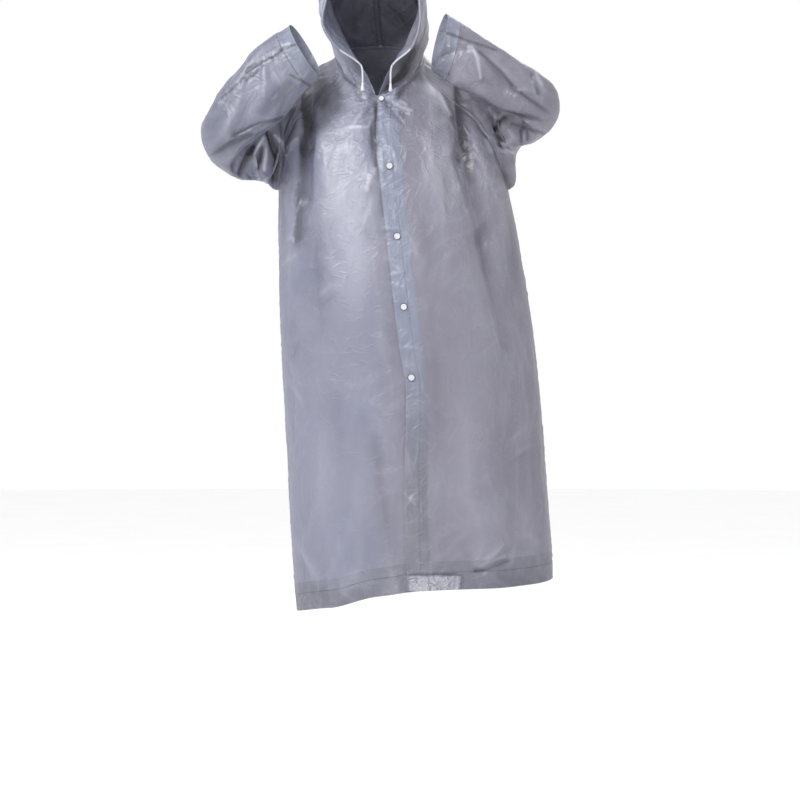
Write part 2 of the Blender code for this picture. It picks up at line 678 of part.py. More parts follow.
def make_button(name, stud, material, collection):
    """A stud cap that lies on the placket: a low disc with rounded rims and a dimple in its face."""
    rows = row_height(np.arange(ROWS + 1) / ROWS)
    above = int(np.searchsorted(rows, stud.height))
    low, high = rows[above - 1], rows[above]
    angle = angle_at(body_value("edge", stud.height) + stud.from_edge, stud.height)
    foot, top = body_point(angle, low), body_point(angle, high)
    across = body_point(angle + 1, (low + high) / 2) - body_point(angle - 1, (low + high) / 2)
    normal = unit(np.cross(across, top - foot))
    on_panel = foot + (top - foot) * (stud.height - low) / (high - low)
    seat = on_panel + normal * (LAYER_GAP + PLACKET_WALL + STUD_GAP)
    radius = stud.radius
    bm = bmesh.new()
    bmesh.ops.create_cone(
        bm,
        cap_ends=True,
        segments=BUTTON_SIDES,
        radius1=radius,
        radius2=radius * TAPER,
        depth=BUTTON_THICKNESS,
    )
    bmesh.ops.translate(bm, verts=bm.verts, vec=(0, 0, BUTTON_THICKNESS / 2))
    face = max(bm.faces, key=lambda f: f.calc_center_median().z)
    for thickness, depth in ((radius * 0.40, 0.0), (radius * 0.16, -BUTTON_DIMPLE)):
        bmesh.ops.inset_region(bm, faces=[face], thickness=thickness, depth=depth)
    mesh = bpy.data.meshes.new(name)
    bm.to_mesh(mesh)
    bm.free()
    mesh.materials.append(material)
    button = bpy.data.objects.new(name, mesh)
    button.rotation_mode = "QUATERNION"
    button.rotation_quaternion = Vector(normal).to_track_quat("Z", "Y")
    button.location = seat
    collection.objects.link(button)
    return button


def make_cord(name, points, radius, material, collection):
    curve = bpy.data.curves.new(name, "CURVE")
    curve.dimensions = "3D"
    curve.bevel_depth = radius
    curve.bevel_resolution = 2
    curve.use_fill_caps = True
    spline = curve.splines.new("POLY")
    spline.points.add(len(points) - 1)
    for point, co in zip(spline.points, points):
        point.co = (*co, 1.0)
    curve.materials.append(material)
    cord = bpy.data.objects.new(name, curve)
    collection.objects.link(cord)
    return cord


def drawstring_route():
    """The cord's line just ahead of the hood's face edge, from one eyelet over the forehead to the other."""
    runs = []
    for edge, side in ((HOOD_EDGE_RIGHT, -1), (HOOD_EDGE_LEFT, 1)):
        along = np.linspace(EYELET_ALONG, 1, CORD_POINTS // 2)
        rim = route_curve(edge, along)
        share = HOOD_NECK_SHARE + (1 - HOOD_NECK_SHARE) * along
        place = hood_point(edge, side)
        u = (np.clip(share, 0, 1 - HOOD_END) - HOOD_END) / (1 - 2 * HOOD_END)
        ahead = place(u, np.zeros_like(u)) - place(u, np.full_like(u, 0.04))
        along_rim = unit(np.gradient(rim, axis=0))
        ahead = unit(ahead - along_rim * (ahead * along_rim).sum(axis=-1, keepdims=True))
        runs.append(rim + ahead * (CORD_RADIUS + CORD_CLEARANCE))
    right, left = runs
    return np.concatenate([right[:-1], left[::-1][1:]])


def tail_route(eyelet, away):
    """A free end: out of the eyelet as the channel leads it, then forward and straight down."""
    start = eyelet + away * CORD_GAP
    bend = start + away * TAIL_LEAD
    foot = bend + np.array([0, -TAIL_FORWARD, -TAIL_DROP])
    hang = foot + np.array([0, 0, TAIL_DROP * 0.55])
    t = np.linspace(0, 1, TAIL_POINTS)[:, None]
    return (1 - t) ** 3 * start + 3 * t * (1 - t) ** 2 * bend + 3 * t**2 * (1 - t) * hang + t**3 * foot


def make_cord_end(name, top, material, collection):
    """A bell-shaped plastic end, turned from its profile."""
    profile = [
        (0.0, 0.0),
        (CORD_END_TOP, 0.0),
        (CORD_END_TOP * 1.15, -CORD_END_LENGTH * 0.35),
        (CORD_END_FOOT * 0.92, -CORD_END_LENGTH * 0.80),
        (CORD_END_FOOT, -CORD_END_LENGTH * 0.93),
        (CORD_END_FOOT * 0.80, -CORD_END_LENGTH),
        (0.0, -CORD_END_LENGTH),
    ]
    bm = bmesh.new()
    verts = [bm.verts.new((x, 0, z)) for x, z in profile]
    for a, b in zip(verts, verts[1:]):
        bm.edges.new((a, b))
    mesh = bpy.data.meshes.new(name)
    bm.to_mesh(mesh)
    bm.free()
    mesh.materials.append(material)
    end = bpy.data.objects.new(name, mesh)
    end.location = top
    screw = end.modifiers.new("turned", "SCREW")
    screw.steps = screw.render_steps = 14
    screw.use_merge_vertices = True
    screw.merge_threshold = 0.00005
    collection.objects.link(end)
    return end


def make_drawstring(cord_material, collection):
    route = drawstring_route()
    make_cord("drawstring", route, CORD_RADIUS, cord_material, collection)
    for name, eyelet, inner in (("right", route[0], route[1]), ("left", route[-1], route[-2])):
        tail = tail_route(eyelet, unit(eyelet - inner))
        make_cord(f"drawstring_tail_{name}", tail, CORD_RADIUS, cord_material, collection)
        make_cord_end(f"cord_end_{name}", tail[-1] - np.array([0, 0, CORD_GAP]), cord_material, collection)


def main():
    collection = start_collection("Raincoat")
    film, folded_film, stud, cord = (make_material(name) for name in COLOURS)
    make_body(film, folded_film, collection)
    make_sleeves(film, collection)
    make_hood(film, collection)
    for number, row in enumerate(BUTTONS, 1):
        make_button(f"button_{number}", Stud(*row), stud, collection)
    make_drawstring(cord, collection)


main()
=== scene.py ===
"""The looks of a long hooded raincoat of thin translucent film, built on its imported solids.

Metres, +Z up, the front faces -Y. Left and right are the wearer's, so the left side of the coat lies at +X.
Every sheet of film is a fine grid on the same surfaces as the solids, with its creases pressed in.
"""

import math
from collections import namedtuple
from functools import reduce

import bmesh
import bpy
import numpy as np
from mathutils import Matrix, Vector, noise


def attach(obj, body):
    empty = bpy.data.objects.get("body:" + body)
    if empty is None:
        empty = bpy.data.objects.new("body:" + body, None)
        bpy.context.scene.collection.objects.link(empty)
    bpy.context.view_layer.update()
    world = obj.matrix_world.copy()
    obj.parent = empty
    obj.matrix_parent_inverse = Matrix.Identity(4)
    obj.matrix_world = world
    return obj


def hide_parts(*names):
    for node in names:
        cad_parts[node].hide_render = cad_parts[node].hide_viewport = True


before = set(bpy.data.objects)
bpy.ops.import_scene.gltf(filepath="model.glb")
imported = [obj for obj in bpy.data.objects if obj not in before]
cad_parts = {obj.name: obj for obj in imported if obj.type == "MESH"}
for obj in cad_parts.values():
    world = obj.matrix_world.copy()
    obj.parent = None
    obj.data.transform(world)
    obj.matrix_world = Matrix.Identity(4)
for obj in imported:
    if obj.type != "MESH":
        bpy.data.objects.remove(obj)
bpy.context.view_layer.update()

bl_info = {
    "name": "Hooded Raincoat",
    "version": (1, 0, 0),
    "blender": (4, 5, 0),
    "location": "View3D > Sidebar > Raincoat",
    "description": "A long hooded raincoat of translucent film",
    "category": "Object",
}

# ----------------------------------------------------------------------------
# The coat's surfaces, as in its solids
# ----------------------------------------------------------------------------

PLACKET_WIDTH = 0.048
PLACKET_OUT = 0.0010  # how far the placket's face lies in front of the left front
PLACKET_LANDING = 0.75  # the share of that which it loses along its welded side
UNDERLAP = 0.036  # how far the right front runs under the left one
UNDERLAP_RISE = 0.030  # the width over which it comes back to the surface
UNDERLAP_SINK = 0.0029  # how deep it lies there
HEM_HEIGHT, UNDERARM_HEIGHT, NECK_HEIGHT = -1.070, -0.280, 0.0
# How a sleeve's first edge is shared between its two seams and the neckline
LOOP_SEAM_PARTS, LOOP_NECK_PARTS = 9, 4
SQUARENESS = 0.07  # how much fuller than an ellipse the body's rings are
NORMAL_STEPS = 0.5, 0.002  # the degrees and metres over which the body's normals are taken

# Body rings from hem to neck. edge is how far the left front's edge lies from the ring's centre.
BODY_COLUMNS = "height centre half_width front back edge".split()
BODY_RINGS = [
    (-1.070, 0.0895, 0.256, 0.170, 0.165, -0.034),
    (-1.000, 0.0850, 0.2575, 0.168, 0.163, -0.033),
    (-0.820, 0.0725, 0.257, 0.166, 0.160, -0.023),
    (-0.740, 0.0668, 0.256, 0.164, 0.158, -0.015),
    (-0.670, 0.0620, 0.255, 0.162, 0.157, -0.011),
    (-0.600, 0.0570, 0.253, 0.160, 0.156, -0.018),
    (-0.520, 0.0498, 0.249, 0.159, 0.155, -0.021),
    (-0.370, 0.0355, 0.238, 0.157, 0.153, -0.023),
    (-0.280, 0.0270, 0.229, 0.155, 0.150, -0.0245),
    (-0.200, 0.0190, 0.222, 0.148, 0.143, -0.023),
    (-0.140, 0.0130, 0.201, 0.138, 0.132, -0.019),
    (-0.090, 0.0085, 0.167, 0.126, 0.118, -0.015),
    (-0.050, 0.0045, 0.130, 0.114, 0.100, -0.0095),
    (-0.020, 0.0020, 0.100, 0.104, 0.086, -0.0055),
    (0.000, 0.0000, 0.086, 0.098, 0.080, -0.0035),
]

# Where the raglan seams cross the rings, in degrees from the centre front. Below the underarm they are the
# side seams.
RAGLAN_COLUMNS = "height front back".split()
RAGLAN_SEAMS = [
    (-0.280, 90, 90),
    (-0.262, 79, 101),
    (-0.235, 72, 107),
    (-0.200, 67.5, 111),
    (-0.140, 64.5, 116),
    (-0.090, 64, 119),
    (-0.050, 62, 122),
    (-0.020, 61, 126),
    (0.000, 60, 128),
]

# The neckline dips to the throat and the hem falls to one side: rise against degrees from the centre front.
NECK_RISE = [
    (-20, -0.089),
    (0, -0.104),
    (20, -0.089),
    (45, -0.066),
    (60, -0.045),
    (70, -0.030),
    (90, -0.008),
    (135, 0.012),
    (180, 0.020),
    (225, 0.012),
]
HEM_RISE = [
    (-225, 0.008),
    (-180, 0.000),
    (-135, -0.018),
    (-90, -0.050),
    (-45, -0.035),
    (-20, -0.010),
    (0, 0.002),
    (45, 0.008),
    (90, 0.016),
    (135, 0.008),
    (180, 0.000),
    (225, -0.018),
]
HEM_RISE_FROM = -0.750

# Large folds of the body, as seen from the front or the back: a groove, or a ridge where a depth is negative.
BodyFold = namedtuple("BodyFold", "view start_x start_z end_x end_z half_width start_depth end_depth")
BODY_FOLDS = [
    ("front", -0.138, -0.110, -0.145, -0.200, 0.016, 0.008, 0.014),
    ("front", -0.145, -0.200, -0.151, -0.312, 0.016, 0.014, 0.010),
    ("front", -0.151, -0.312, -0.168, -0.400, 0.016, 0.010, 0.000),
    ("front", -0.125, -0.180, -0.098, -0.480, 0.022, -0.006, -0.003),
    ("front", 0.147, -0.100, 0.166, -0.220, 0.017, 0.008, 0.015),
    ("front", 0.166, -0.220, 0.205, -0.390, 0.018, 0.015, 0.010),
    ("front", 0.205, -0.390, 0.243, -0.584, 0.020, 0.010, 0.000),
    ("front", -0.010, -0.740, 0.018, -0.985, 0.024, 0.006, 0.000),
    ("front", 0.120, -0.560, 0.150, -1.120, 0.045, 0.000, 0.011),
    ("front", 0.200, -0.620, 0.225, -1.120, 0.030, 0.000, -0.006),
    ("front", -0.060, -0.520, -0.040, -1.120, 0.045, 0.000, 0.011),
    ("front", -0.155, -0.620, -0.140, -1.150, 0.040, 0.000, 0.010),
    ("front", 0.262, -0.700, 0.290, -1.120, 0.030, 0.000, 0.008),
    ("back", -0.120, -0.140, -0.100, -0.620, 0.030, 0.005, 0.011),
    ("back", -0.100, -0.620, -0.085, -1.120, 0.036, 0.011, 0.017),
    ("back", -0.045, -0.300, -0.022, -1.120, 0.026, 0.000, -0.010),
    ("back", 0.005, -0.360, 0.040, -1.120, 0.032, 0.000, 0.017),
    ("back", 0.115, -0.140, 0.150, -0.560, 0.026, 0.005, 0.011),
    ("back", 0.150, -0.560, 0.185, -1.120, 0.036, 0.011, 0.016),
    ("back", 0.085, -0.260, 0.112, -1.120, 0.026, 0.000, -0.009),
    ("back", 0.230, -0.480, 0.290, -1.120, 0.028, 0.000, 0.011),
    ("back", -0.170, -0.520, -0.175, -1.120, 0.026, 0.000, 0.012),
]

# Sleeve sections from the upper arm to the cuff. lean turns the flattened tube's width from straight down, in
# degrees.
SLEEVE_COLUMNS = "x y z lean half_width half_thickness".split()
SLEEVE_RIGHT = [
    (-0.237, -0.050, -0.178, 4, 0.089, 0.050),
    (-0.286, -0.096, -0.203, 10, 0.064, 0.036),
    (-0.311, -0.140, -0.201, 22, 0.052, 0.030),
    (-0.296, -0.184, -0.184, 38, 0.048, 0.030),
    (-0.264, -0.192, -0.149, 45, 0.0577, 0.032),
    (-0.2265, -0.192, -0.115, 45, 0.0627, 0.034),
    (-0.197, -0.190, -0.076, 43, 0.0622, 0.035),
    (-0.142, -0.184, -0.029, 30.4, 0.0555, 0.035),
]
SLEEVE_LEFT = [
    (0.274, -0.064, -0.145, -4, 0.056, 0.044),
    (0.298, -0.102, -0.147, -9, 0.053, 0.035),
    (0.319, -0.146, -0.143, -18, 0.047, 0.028),
    (0.295, -0.190, -0.122, -30, 0.045, 0.029),
    (0.2527, -0.192, -0.1015, -31, 0.0500, 0.032),
    (0.2124, -0.192, -0.0747, -31, 0.0510, 0.034),
    (0.1721, -0.190, -0.0520, -28, 0.0530, 0.034),
    (0.1155, -0.184, -0.0142, -13.7, 0.0568, 0.035),
]
SHOULDER_SHARE = 0.28  # the share of a sleeve's rings that lead from the raglan seam to the first section
SLEEVE_ROUND, SLEEVE_LENGTH = 0.30, 0.60  # about how far a sleeve's film runs round and along
EDGE_SHARPNESS = 1.15  # over 1 gives the flattened tube creased edges
CUFF_SKEW = 0.013  # how far the cuff's far side reaches past its near side, each way

# Sleeve folds, by share: round (0 under the arm, 0.25 in front of the upper arm, 0.5 on top) and along (0 at
# the shoulder, 1 at the cuff).
SleeveFold = namedtuple("SleeveFold", "start_round start_along end_round end_along half_width depth")
SLEEVE_FOLDS_RIGHT = [
    (0.86, 0.60, 0.70, 0.80, 0.014, 0.006),
    (0.95, 0.66, 0.80, 0.86, 0.012, -0.004),
    (0.62, 0.66, 0.58, 0.96, 0.012, -0.004),
    (0.05, 0.30, 0.30, 0.42, 0.014, 0.008),
    (0.02, 0.22, 0.34, 0.28, 0.014, -0.006),
    (0.10, 0.12, 0.36, 0.14, 0.016, 0.008),
    (0.52, 0.16, 0.66, 0.40, 0.018, 0.006),
]
SLEEVE_FOLDS_LEFT = [
    (0.70, 0.62, 0.88, 0.80, 0.014, 0.006),
    (0.60, 0.66, 0.58, 0.96, 0.012, -0.004),
    (0.80, 0.72, 0.66, 0.92, 0.014, -0.004),
    (0.05, 0.34, 0.32, 0.42, 0.014, 0.008),
    (0.10, 0.18, 0.40, 0.20, 0.016, 0.008),
    (0.04, 0.24, 0.30, 0.30, 0.014, -0.006),
    (0.52, 0.16, 0.66, 0.40, 0.018, 0.006),
]

# Hood: its middle seam from nape to forehead, and the face edge from throat to forehead on each side.
HOOD_SEAM = [
    (0.000, 0.080, 0.021),
    (-0.004, 0.108, 0.060),
    (-0.009, 0.132, 0.120),
    (-0.013, 0.132, 0.180),
    (-0.014, 0.095, 0.232),
    (-0.014, 0.035, 0.260),
    (-0.014, -0.035, 0.264),
    (-0.014, -0.098, 0.243),
    (-0.014, -0.138, 0.218),
]
HOOD_EDGE_RIGHT = [
    (-0.0065, -0.0985, -0.1020),
    (-0.036, -0.117, -0.047),
    (-0.090, -0.150, -0.007),
    (-0.111, -0.152, 0.035),
    (-0.105, -0.152, 0.075),
    (-0.092, -0.150, 0.130),
    (-0.062, -0.146, 0.185),
    (-0.0145, -0.138, 0.218),
]
HOOD_EDGE_LEFT = [
    (-0.0020, -0.0985, -0.1025),
    (0.0265, -0.117, -0.045),
    (0.065, -0.148, -0.012),
    (0.079, -0.152, 0.030),
    (0.079, -0.152, 0.075),
    (0.068, -0.150, 0.130),
    (0.037, -0.146, 0.185),
    (-0.0135, -0.138, 0.218),
]
HOOD_FULLNESS = 0.034  # how far a half swells past a plain arc
HOOD_BACK_FULLNESS = 0.020  # the same, backwards behind the head
HOOD_WIDE_FROM, HOOD_WIDE_TO = 0.28, 0.70  # the shares of its rim between which a half stays wide
HOOD_WIDE_BY = 0.40  # the share of its height at which it has that width
HOOD_END = 0.0006  # the share of a half left out at each pointed end
HOOD_CROWDING = 1.3  # over 1 crowds a half's rows towards its middle seam
HOOD_NAPE = 180.0  # where on the neckline each half starts at the back and ends at the throat, in degrees
HOOD_THROAT_RIGHT, HOOD_THROAT_LEFT = -4.3, -1.3
HOOD_NECK_PART = 13 / 25  # the share of a half's rim that runs along the neckline

Stud = namedtuple("Stud", "height radius from_edge")
BUTTONS = [
    (-0.0075, 0.0056, 0.0070),
    (-0.2430, 0.0065, 0.0205),
    (-0.3840, 0.0065, 0.0205),
    (-0.5205, 0.0065, 0.0185),
    (-0.6570, 0.0065, 0.0125),
]

CORD_RADIUS = 0.0018
CORD_CLEARANCE = 0.0017  # between the cord and the hood's face edge
CORD_GAP = 0.0008  # between a free end and what is before or below it
EYELET_ALONG = 0.17  # how far up the face edge the cord comes out
TAIL_LEAD = 0.007  # how far a free end runs on as the channel leads it
TAIL_DROP = 0.030
TAIL_FORWARD = 0.006

# ----------------------------------------------------------------------------
# Creases
# ----------------------------------------------------------------------------

CAMERA_PLACE = (0.04, -4.5, -0.70)
CAMERA_DISTANCE = 4.5
FRAME_WIDTH = 1.6  # what the camera sees across at the coat's middle plane
PHOTO_SIDE = 800  # pixels
PHOTO_MIDDLE = PHOTO_SIDE / 2
PIXEL = FRAME_WIDTH / PHOTO_SIDE  # metres

# Creases that the photo shows, between two of its pixels: a groove, or a ridge where the depth is negative.
# half_width and depth are in millimetres.
Crease = namedtuple("Crease", "start_px start_py end_px end_py half_width depth")
FRONT_CREASES = [
    (340, 132, 352, 126, 4, -1.6),
    (352, 126, 362, 113, 4, -1.8),
    (352, 126, 368, 127, 4, -1.8),
    (368, 127, 375, 115, 4, -1.6),
    (353, 128, 351, 150, 6, -1.8),
    (340, 150, 334, 185, 8, -1.6),
    (345, 158, 350, 215, 12, 1.8),
    (337, 62, 360, 88, 6, 3.5),
    (341, 60, 352, 84, 5, -2.5),
    (345, 78, 358, 83, 6, 3.0),
    (333, 78, 341, 100, 9, 2.5),
    (385, 98, 410, 112, 4, -2.8),
    (383, 100, 405, 125, 6, 3.0),
    (388, 98, 399, 97, 3, -2.4),
    (390, 93, 402, 90, 4, -2.4),
    (400, 90, 412, 80, 5, 2.5),
    (398, 104, 404, 110, 4, -2.0),
    (376, 101, 362, 119, 6, 2.8),
    (374, 106, 369, 135, 6, -2.0),
    (423, 62, 428, 85, 5, -3.2),
    (428, 85, 437, 95, 5, -3.2),
    (437, 95, 450, 115, 6, -2.6),
    (430, 78, 446, 112, 8, 2.2),
    (441, 96, 446, 114, 4, -1.8),
    (283, 265, 301, 252, 5, -2.0),
    (288, 240, 297, 228, 4, -1.6),
    (318, 298, 328, 288, 5, -2.0),
    (322, 305, 334, 296, 4, 1.6),
    (297, 540, 315, 575, 7, -2.6),
    (301, 545, 306, 580, 6, 1.8),
    (289, 380, 303, 402, 5, -1.8),
    (292, 360, 300, 340, 6, 1.5),
    (375, 440, 388, 545, 14, 3.0),
    (372, 112, 373, 158, 6, 5.0),
    (366, 190, 376, 168, 6, -2.2),
    (361, 232, 375, 200, 7, -2.0),
    (362, 226, 379, 250, 7, 2.0),
    (512, 441, 524, 428, 4, -1.6),
    (518, 454, 530, 444, 4, -1.6),
    (514, 462, 526, 452, 4, 1.4),
    (526, 440, 527, 405, 5, -1.5),
    (482, 566, 503, 545, 7, -1.8),
    (476, 567, 484, 540, 7, -1.5),
    (470, 566, 462, 545, 7, 1.2),
    (492, 560, 516, 546, 6, 1.4),
    (409, 235, 421, 262, 6, -1.8),
    (420, 200, 431, 268, 12, 1.6),
    (446, 160, 452, 240, 14, 1.8),
    (431, 140, 438, 210, 14, -1.6),
    (314, 230, 322, 330, 14, 2.2),
    (335, 380, 340, 470, 20, 1.6),
    (320, 430, 324, 540, 20, -1.6),
    (432, 330, 440, 450, 22, 1.6),
    (465, 400, 470, 520, 22, -1.5),
    (508, 205, 516, 290, 8, 2.0),
    (497, 180, 509, 250, 8, -2.2),
    (480, 150, 494, 196, 8, -2.2),
    (466, 130, 478, 165, 6, 2.0),
    (318, 112, 330, 96, 7, 2.4),
    (322, 140, 328, 190, 10, -2.2),
    (288, 200, 291, 300, 9, -1.8),
    (283, 190, 284, 240, 6, 1.8),
]
PLACKET_CREASES = [
    (381, 228, 402, 229, 3, -2.2),
    (383, 233, 398, 231, 3, 1.4),
    (386, 258, 397, 262, 3, -2.0),
    (391, 264, 403, 272, 3, -2.0),
    (389, 276, 401, 272, 3, -2.0),
    (391, 283, 404, 288, 3, -1.8),
    (388, 246, 396, 240, 3, -1.6),
    (380, 190, 393, 178, 3, -1.6),
    (392, 205, 396, 222, 3, -2.0),
    (379, 120, 388, 150, 5, -1.8),
    (388, 112, 392, 150, 3, -2.0),
    (393, 150, 397, 166, 3, -1.6),
    (399, 347, 415, 348, 3, -2.2),
    (401, 338, 409, 330, 3, -1.4),
    (404, 362, 415, 372, 3, -1.2),
    (405, 493, 417, 506, 3, -2.0),
    (406, 507, 415, 494, 3, -1.8),
    (409, 500, 419, 498, 3, -1.4),
    (405, 524, 418, 520, 3, -1.2),
    (404, 440, 412, 470, 5, -1.0),
]
FOREARM_RIGHT_CREASES = [
    (262, 122, 235, 137, 7, 4.0),
    (262, 133, 211, 156, 7, 5.0),
    (276, 118, 228, 141, 6, -3.2),
    (256, 143, 222, 161, 6, -2.6),
    (252, 92, 214, 146, 12, -2.2),
    (240, 92, 212, 128, 10, 2.2),
    (265, 70, 266, 92, 4, -2.0),
    (274, 72, 284, 90, 4, -1.8),
    (283, 84, 268, 102, 6, 2.2),
    (300, 78, 282, 98, 5, -1.8),
    (262, 62, 244, 72, 4, 2.0),
    (284, 44, 262, 58, 5, -1.4),
    (246, 78, 238, 92, 4, -1.8),
    (228, 96, 214, 120, 6, 1.6),
]
UPPER_ARM_RIGHT_CREASES = [
    (253, 143, 240, 175, 5, 6.0),
    (262, 138, 250, 156, 4, -5.0),
    (250, 156, 257, 168, 4, -5.0),
    (262, 150, 258, 167, 4, 5.0),
    (267, 138, 264, 168, 4, -4.0),
    (270, 132, 276, 158, 5, 7.0),
    (276, 158, 274, 181, 5, 7.0),
    (232, 160, 234, 178, 4, 2.5),
    (255, 168, 262, 183, 4, -3.5),
    (246, 172, 254, 182, 4, 2.5),
    (222, 164, 226, 176, 4, -1.8),
]
FOREARM_LEFT_CREASES = [
    (436, 58, 465, 46, 4, 1.8),
    (474, 50, 481, 78, 5, -2.8),
    (450, 36, 450, 56, 4, -1.8),
    (486, 60, 515, 90, 6, 3.0),
    (515, 90, 553, 117, 6, 3.0),
    (492, 58, 520, 84, 6, -1.8),
    (532, 72, 537, 94, 5, -3.2),
    (537, 94, 524, 97, 4, 2.0),
    (514, 99, 519, 92, 3, -1.8),
    (504, 113, 552, 123, 5, 4.0),
    (500, 119, 548, 129, 5, -3.8),
    (470, 60, 500, 100, 12, 1.6),
    (452, 60, 470, 88, 12, -1.4),
    (460, 45, 478, 50, 4, 2.0),
]
UPPER_ARM_LEFT_CREASES = [
    (495, 118, 499, 128, 4, -5.0),
    (499, 120, 495, 136, 4, 7.0),
    (495, 136, 503, 148, 4, 7.0),
    (503, 146, 513, 138, 4, -5.0),
    (506, 124, 512, 136, 4, -4.0),
    (516, 128, 520, 146, 4, 4.0),
    (523, 130, 524, 146, 4, -3.0),
    (484, 112, 478, 136, 5, -2.4),
    (488, 118, 492, 140, 5, 3.0),
    (498, 150, 510, 156, 4, -3.0),
]

# Creases of the hidden side, in metres as seen from behind or from the side.
BackCrease = namedtuple("BackCrease", "start_x start_z end_x end_z half_width depth")
BACK_CREASES = [
    (-0.020, -0.040, -0.075, -0.105, 0.006, -0.0028),
    (0.025, -0.045, 0.070, -0.120, 0.006, -0.0026),
    (-0.060, -0.060, -0.115, -0.170, 0.008, 0.0028),
    (0.055, -0.060, 0.120, -0.165, 0.008, 0.0030),
    (-0.130, -0.190, -0.090, -0.240, 0.005, -0.0024),
    (-0.090, -0.240, -0.110, -0.300, 0.005, -0.0020),
    (0.100, -0.205, 0.155, -0.260, 0.005, -0.0024),
    (0.155, -0.260, 0.140, -0.330, 0.006, 0.0022),
    (0.000, -0.160, 0.030, -0.290, 0.012, 0.0020),
    (-0.030, -0.210, -0.055, -0.350, 0.012, -0.0018),
    (0.070, -0.340, 0.100, -0.470, 0.010, -0.0020),
    (-0.150, -0.400, -0.120, -0.440, 0.005, -0.0022),
    (-0.165, -0.430, -0.140, -0.460, 0.005, -0.0018),
    (0.180, -0.480, 0.215, -0.440, 0.005, -0.0022),
    (0.195, -0.520, 0.230, -0.470, 0.005, 0.0018),
    (-0.010, -0.560, 0.015, -0.690, 0.014, -0.0022),
    (-0.140, -0.700, -0.105, -0.760, 0.006, -0.0020),
    (0.110, -0.720, 0.150, -0.800, 0.006, -0.0022),
    (0.225, -0.820, 0.260, -0.760, 0.005, -0.0020),
    (-0.080, -0.900, -0.060, -1.010, 0.012, -0.0026),
    (0.060, -0.930, 0.080, -1.050, 0.012, 0.0026),
    (0.190, -0.950, 0.210, -1.060, 0.010, -0.0026),
    (-0.150, -1.010, -0.120, -1.060, 0.006, -0.0026),
    (0.020, -1.035, 0.055, -1.015, 0.005, 0.0030),
    (0.275, -1.000, 0.300, -1.070, 0.006, -0.0024),
]

# Creases of the sleeves' hidden sides, by share as in the sleeve folds, half_width and depth in metres.
SLEEVE_CREASES = [
    (0.72, 0.10, 0.60, 0.24, 0.006, -0.0035),
    (0.80, 0.16, 0.66, 0.30, 0.006, 0.0035),
    (0.90, 0.30, 0.70, 0.36, 0.005, -0.0040),
    (0.12, 0.38, 0.92, 0.44, 0.005, 0.0045),
    (0.20, 0.42, 0.02, 0.50, 0.005, -0.0040),
    (0.30, 0.50, 0.12, 0.56, 0.005, 0.0040),
    (0.34, 0.60, 0.20, 0.74, 0.006, -0.0028),
    (0.40, 0.72, 0.28, 0.90, 0.006, 0.0026),
    (0.14, 0.78, 0.24, 0.88, 0.005, -0.0022),
    (0.48, 0.08, 0.56, 0.20, 0.007, 0.0030),
    (0.44, 0.20, 0.50, 0.34, 0.006, -0.0030),
]

# Creases of the hood, by share: along its rim (0 nape, 1 forehead) and up (0 rim, 1 middle seam).
HoodCrease = namedtuple("HoodCrease", "start_along start_up end_along end_up half_width depth")
HOOD_CREASES = [
    (0.50, 0.02, 0.60, 0.30, 0.006, -0.0032),
    (0.46, 0.02, 0.48, 0.36, 0.007, 0.0034),
    (0.54, 0.04, 0.70, 0.26, 0.005, 0.0030),
    (0.40, 0.03, 0.34, 0.26, 0.006, -0.0028),
    (0.34, 0.02, 0.24, 0.22, 0.006, 0.0030),
    (0.26, 0.02, 0.20, 0.30, 0.005, -0.0024),
    (0.14, 0.02, 0.16, 0.30, 0.006, 0.0026),
    (0.62, 0.10, 0.58, 0.52, 0.008, -0.0026),
    (0.72, 0.06, 0.66, 0.50, 0.007, 0.0028),
    (0.82, 0.04, 0.74, 0.60, 0.008, -0.0026),
    (0.92, 0.06, 0.82, 0.66, 0.007, 0.0024),
    (0.44, 0.50, 0.62, 0.88, 0.010, 0.0026),
    (0.24, 0.46, 0.40, 0.90, 0.009, -0.0026),
    (0.10, 0.40, 0.22, 0.84, 0.008, 0.0024),
]

# The film's own crumple: soft short ridges that run several ways, tilted from upright in degrees.
# across and along are in waves a metre, and share is how much of a wave's swing a ridge takes up.
CrumpleRun = namedtuple("CrumpleRun", "tilt across along share height")
CRUMPLE_RUNS = [
    (10, 22, 6, 0.34, 0.0013),
    (-14, 25, 7, 0.32, 0.0012),
    (48, 30, 11, 0.30, 0.0010),
    (-56, 30, 11, 0.30, 0.0010),
]
# Finer crinkles, too thin for the mesh: tilt, and waves a metre across and along
CRINKLE_RUNS = [(14, 70, 17), (-22, 62, 15), (58, 74, 20), (-64, 66, 22), (88, 80, 24)]
SWAY_HEIGHT = 0.0012  # how far the film sways in and out over long stretches
PUCKER_HEIGHT = 0.0018
# How far puckers reach from each weld
SEAM_PUCKERS, HEM_PUCKERS, SLEEVE_PUCKERS = 0.014, 0.012, 0.016
CUFF_PUCKERS, FOREARM_PUCKERS, CHANNEL_PUCKERS = 0.010, 0.007, 0.008
WELD_RIDGE, WELD_RIDGE_WIDTH = 0.0009, 0.003  # the raised line of a forearm's weld
SLEEVE_CRUMPLE, SLEEVE_CRINKLE = 0.9, 0.7  # against 1 for the crumple and the crinkles of the chest
HOOD_CRUMPLE, HOOD_CRINKLE = 1.2, 0.9
RIDGE_HEIGHT = 0.005  # a ridge of this height is as bright as film gets, with its whitening and painted highlight, and a groove this deep takes the full painted shade
SEAM_HOLD = 0.012  # how far from a weld the film is free to crease
SEAM_FLANGE = 0.005  # how far a seam's welded line lies from its edge

# The long welds that the photo shows along the forearms
SLEEVE_SEAM_RIGHT = [
    (295, 45, 277, 54),
    (277, 54, 257, 68),
    (257, 68, 239, 83),
    (239, 83, 222, 97),
]
SLEEVE_SEAM_LEFT = [
    (438, 31, 452, 33),
    (452, 33, 463, 39),
    (463, 39, 480, 44),
    (480, 44, 496, 50),
]

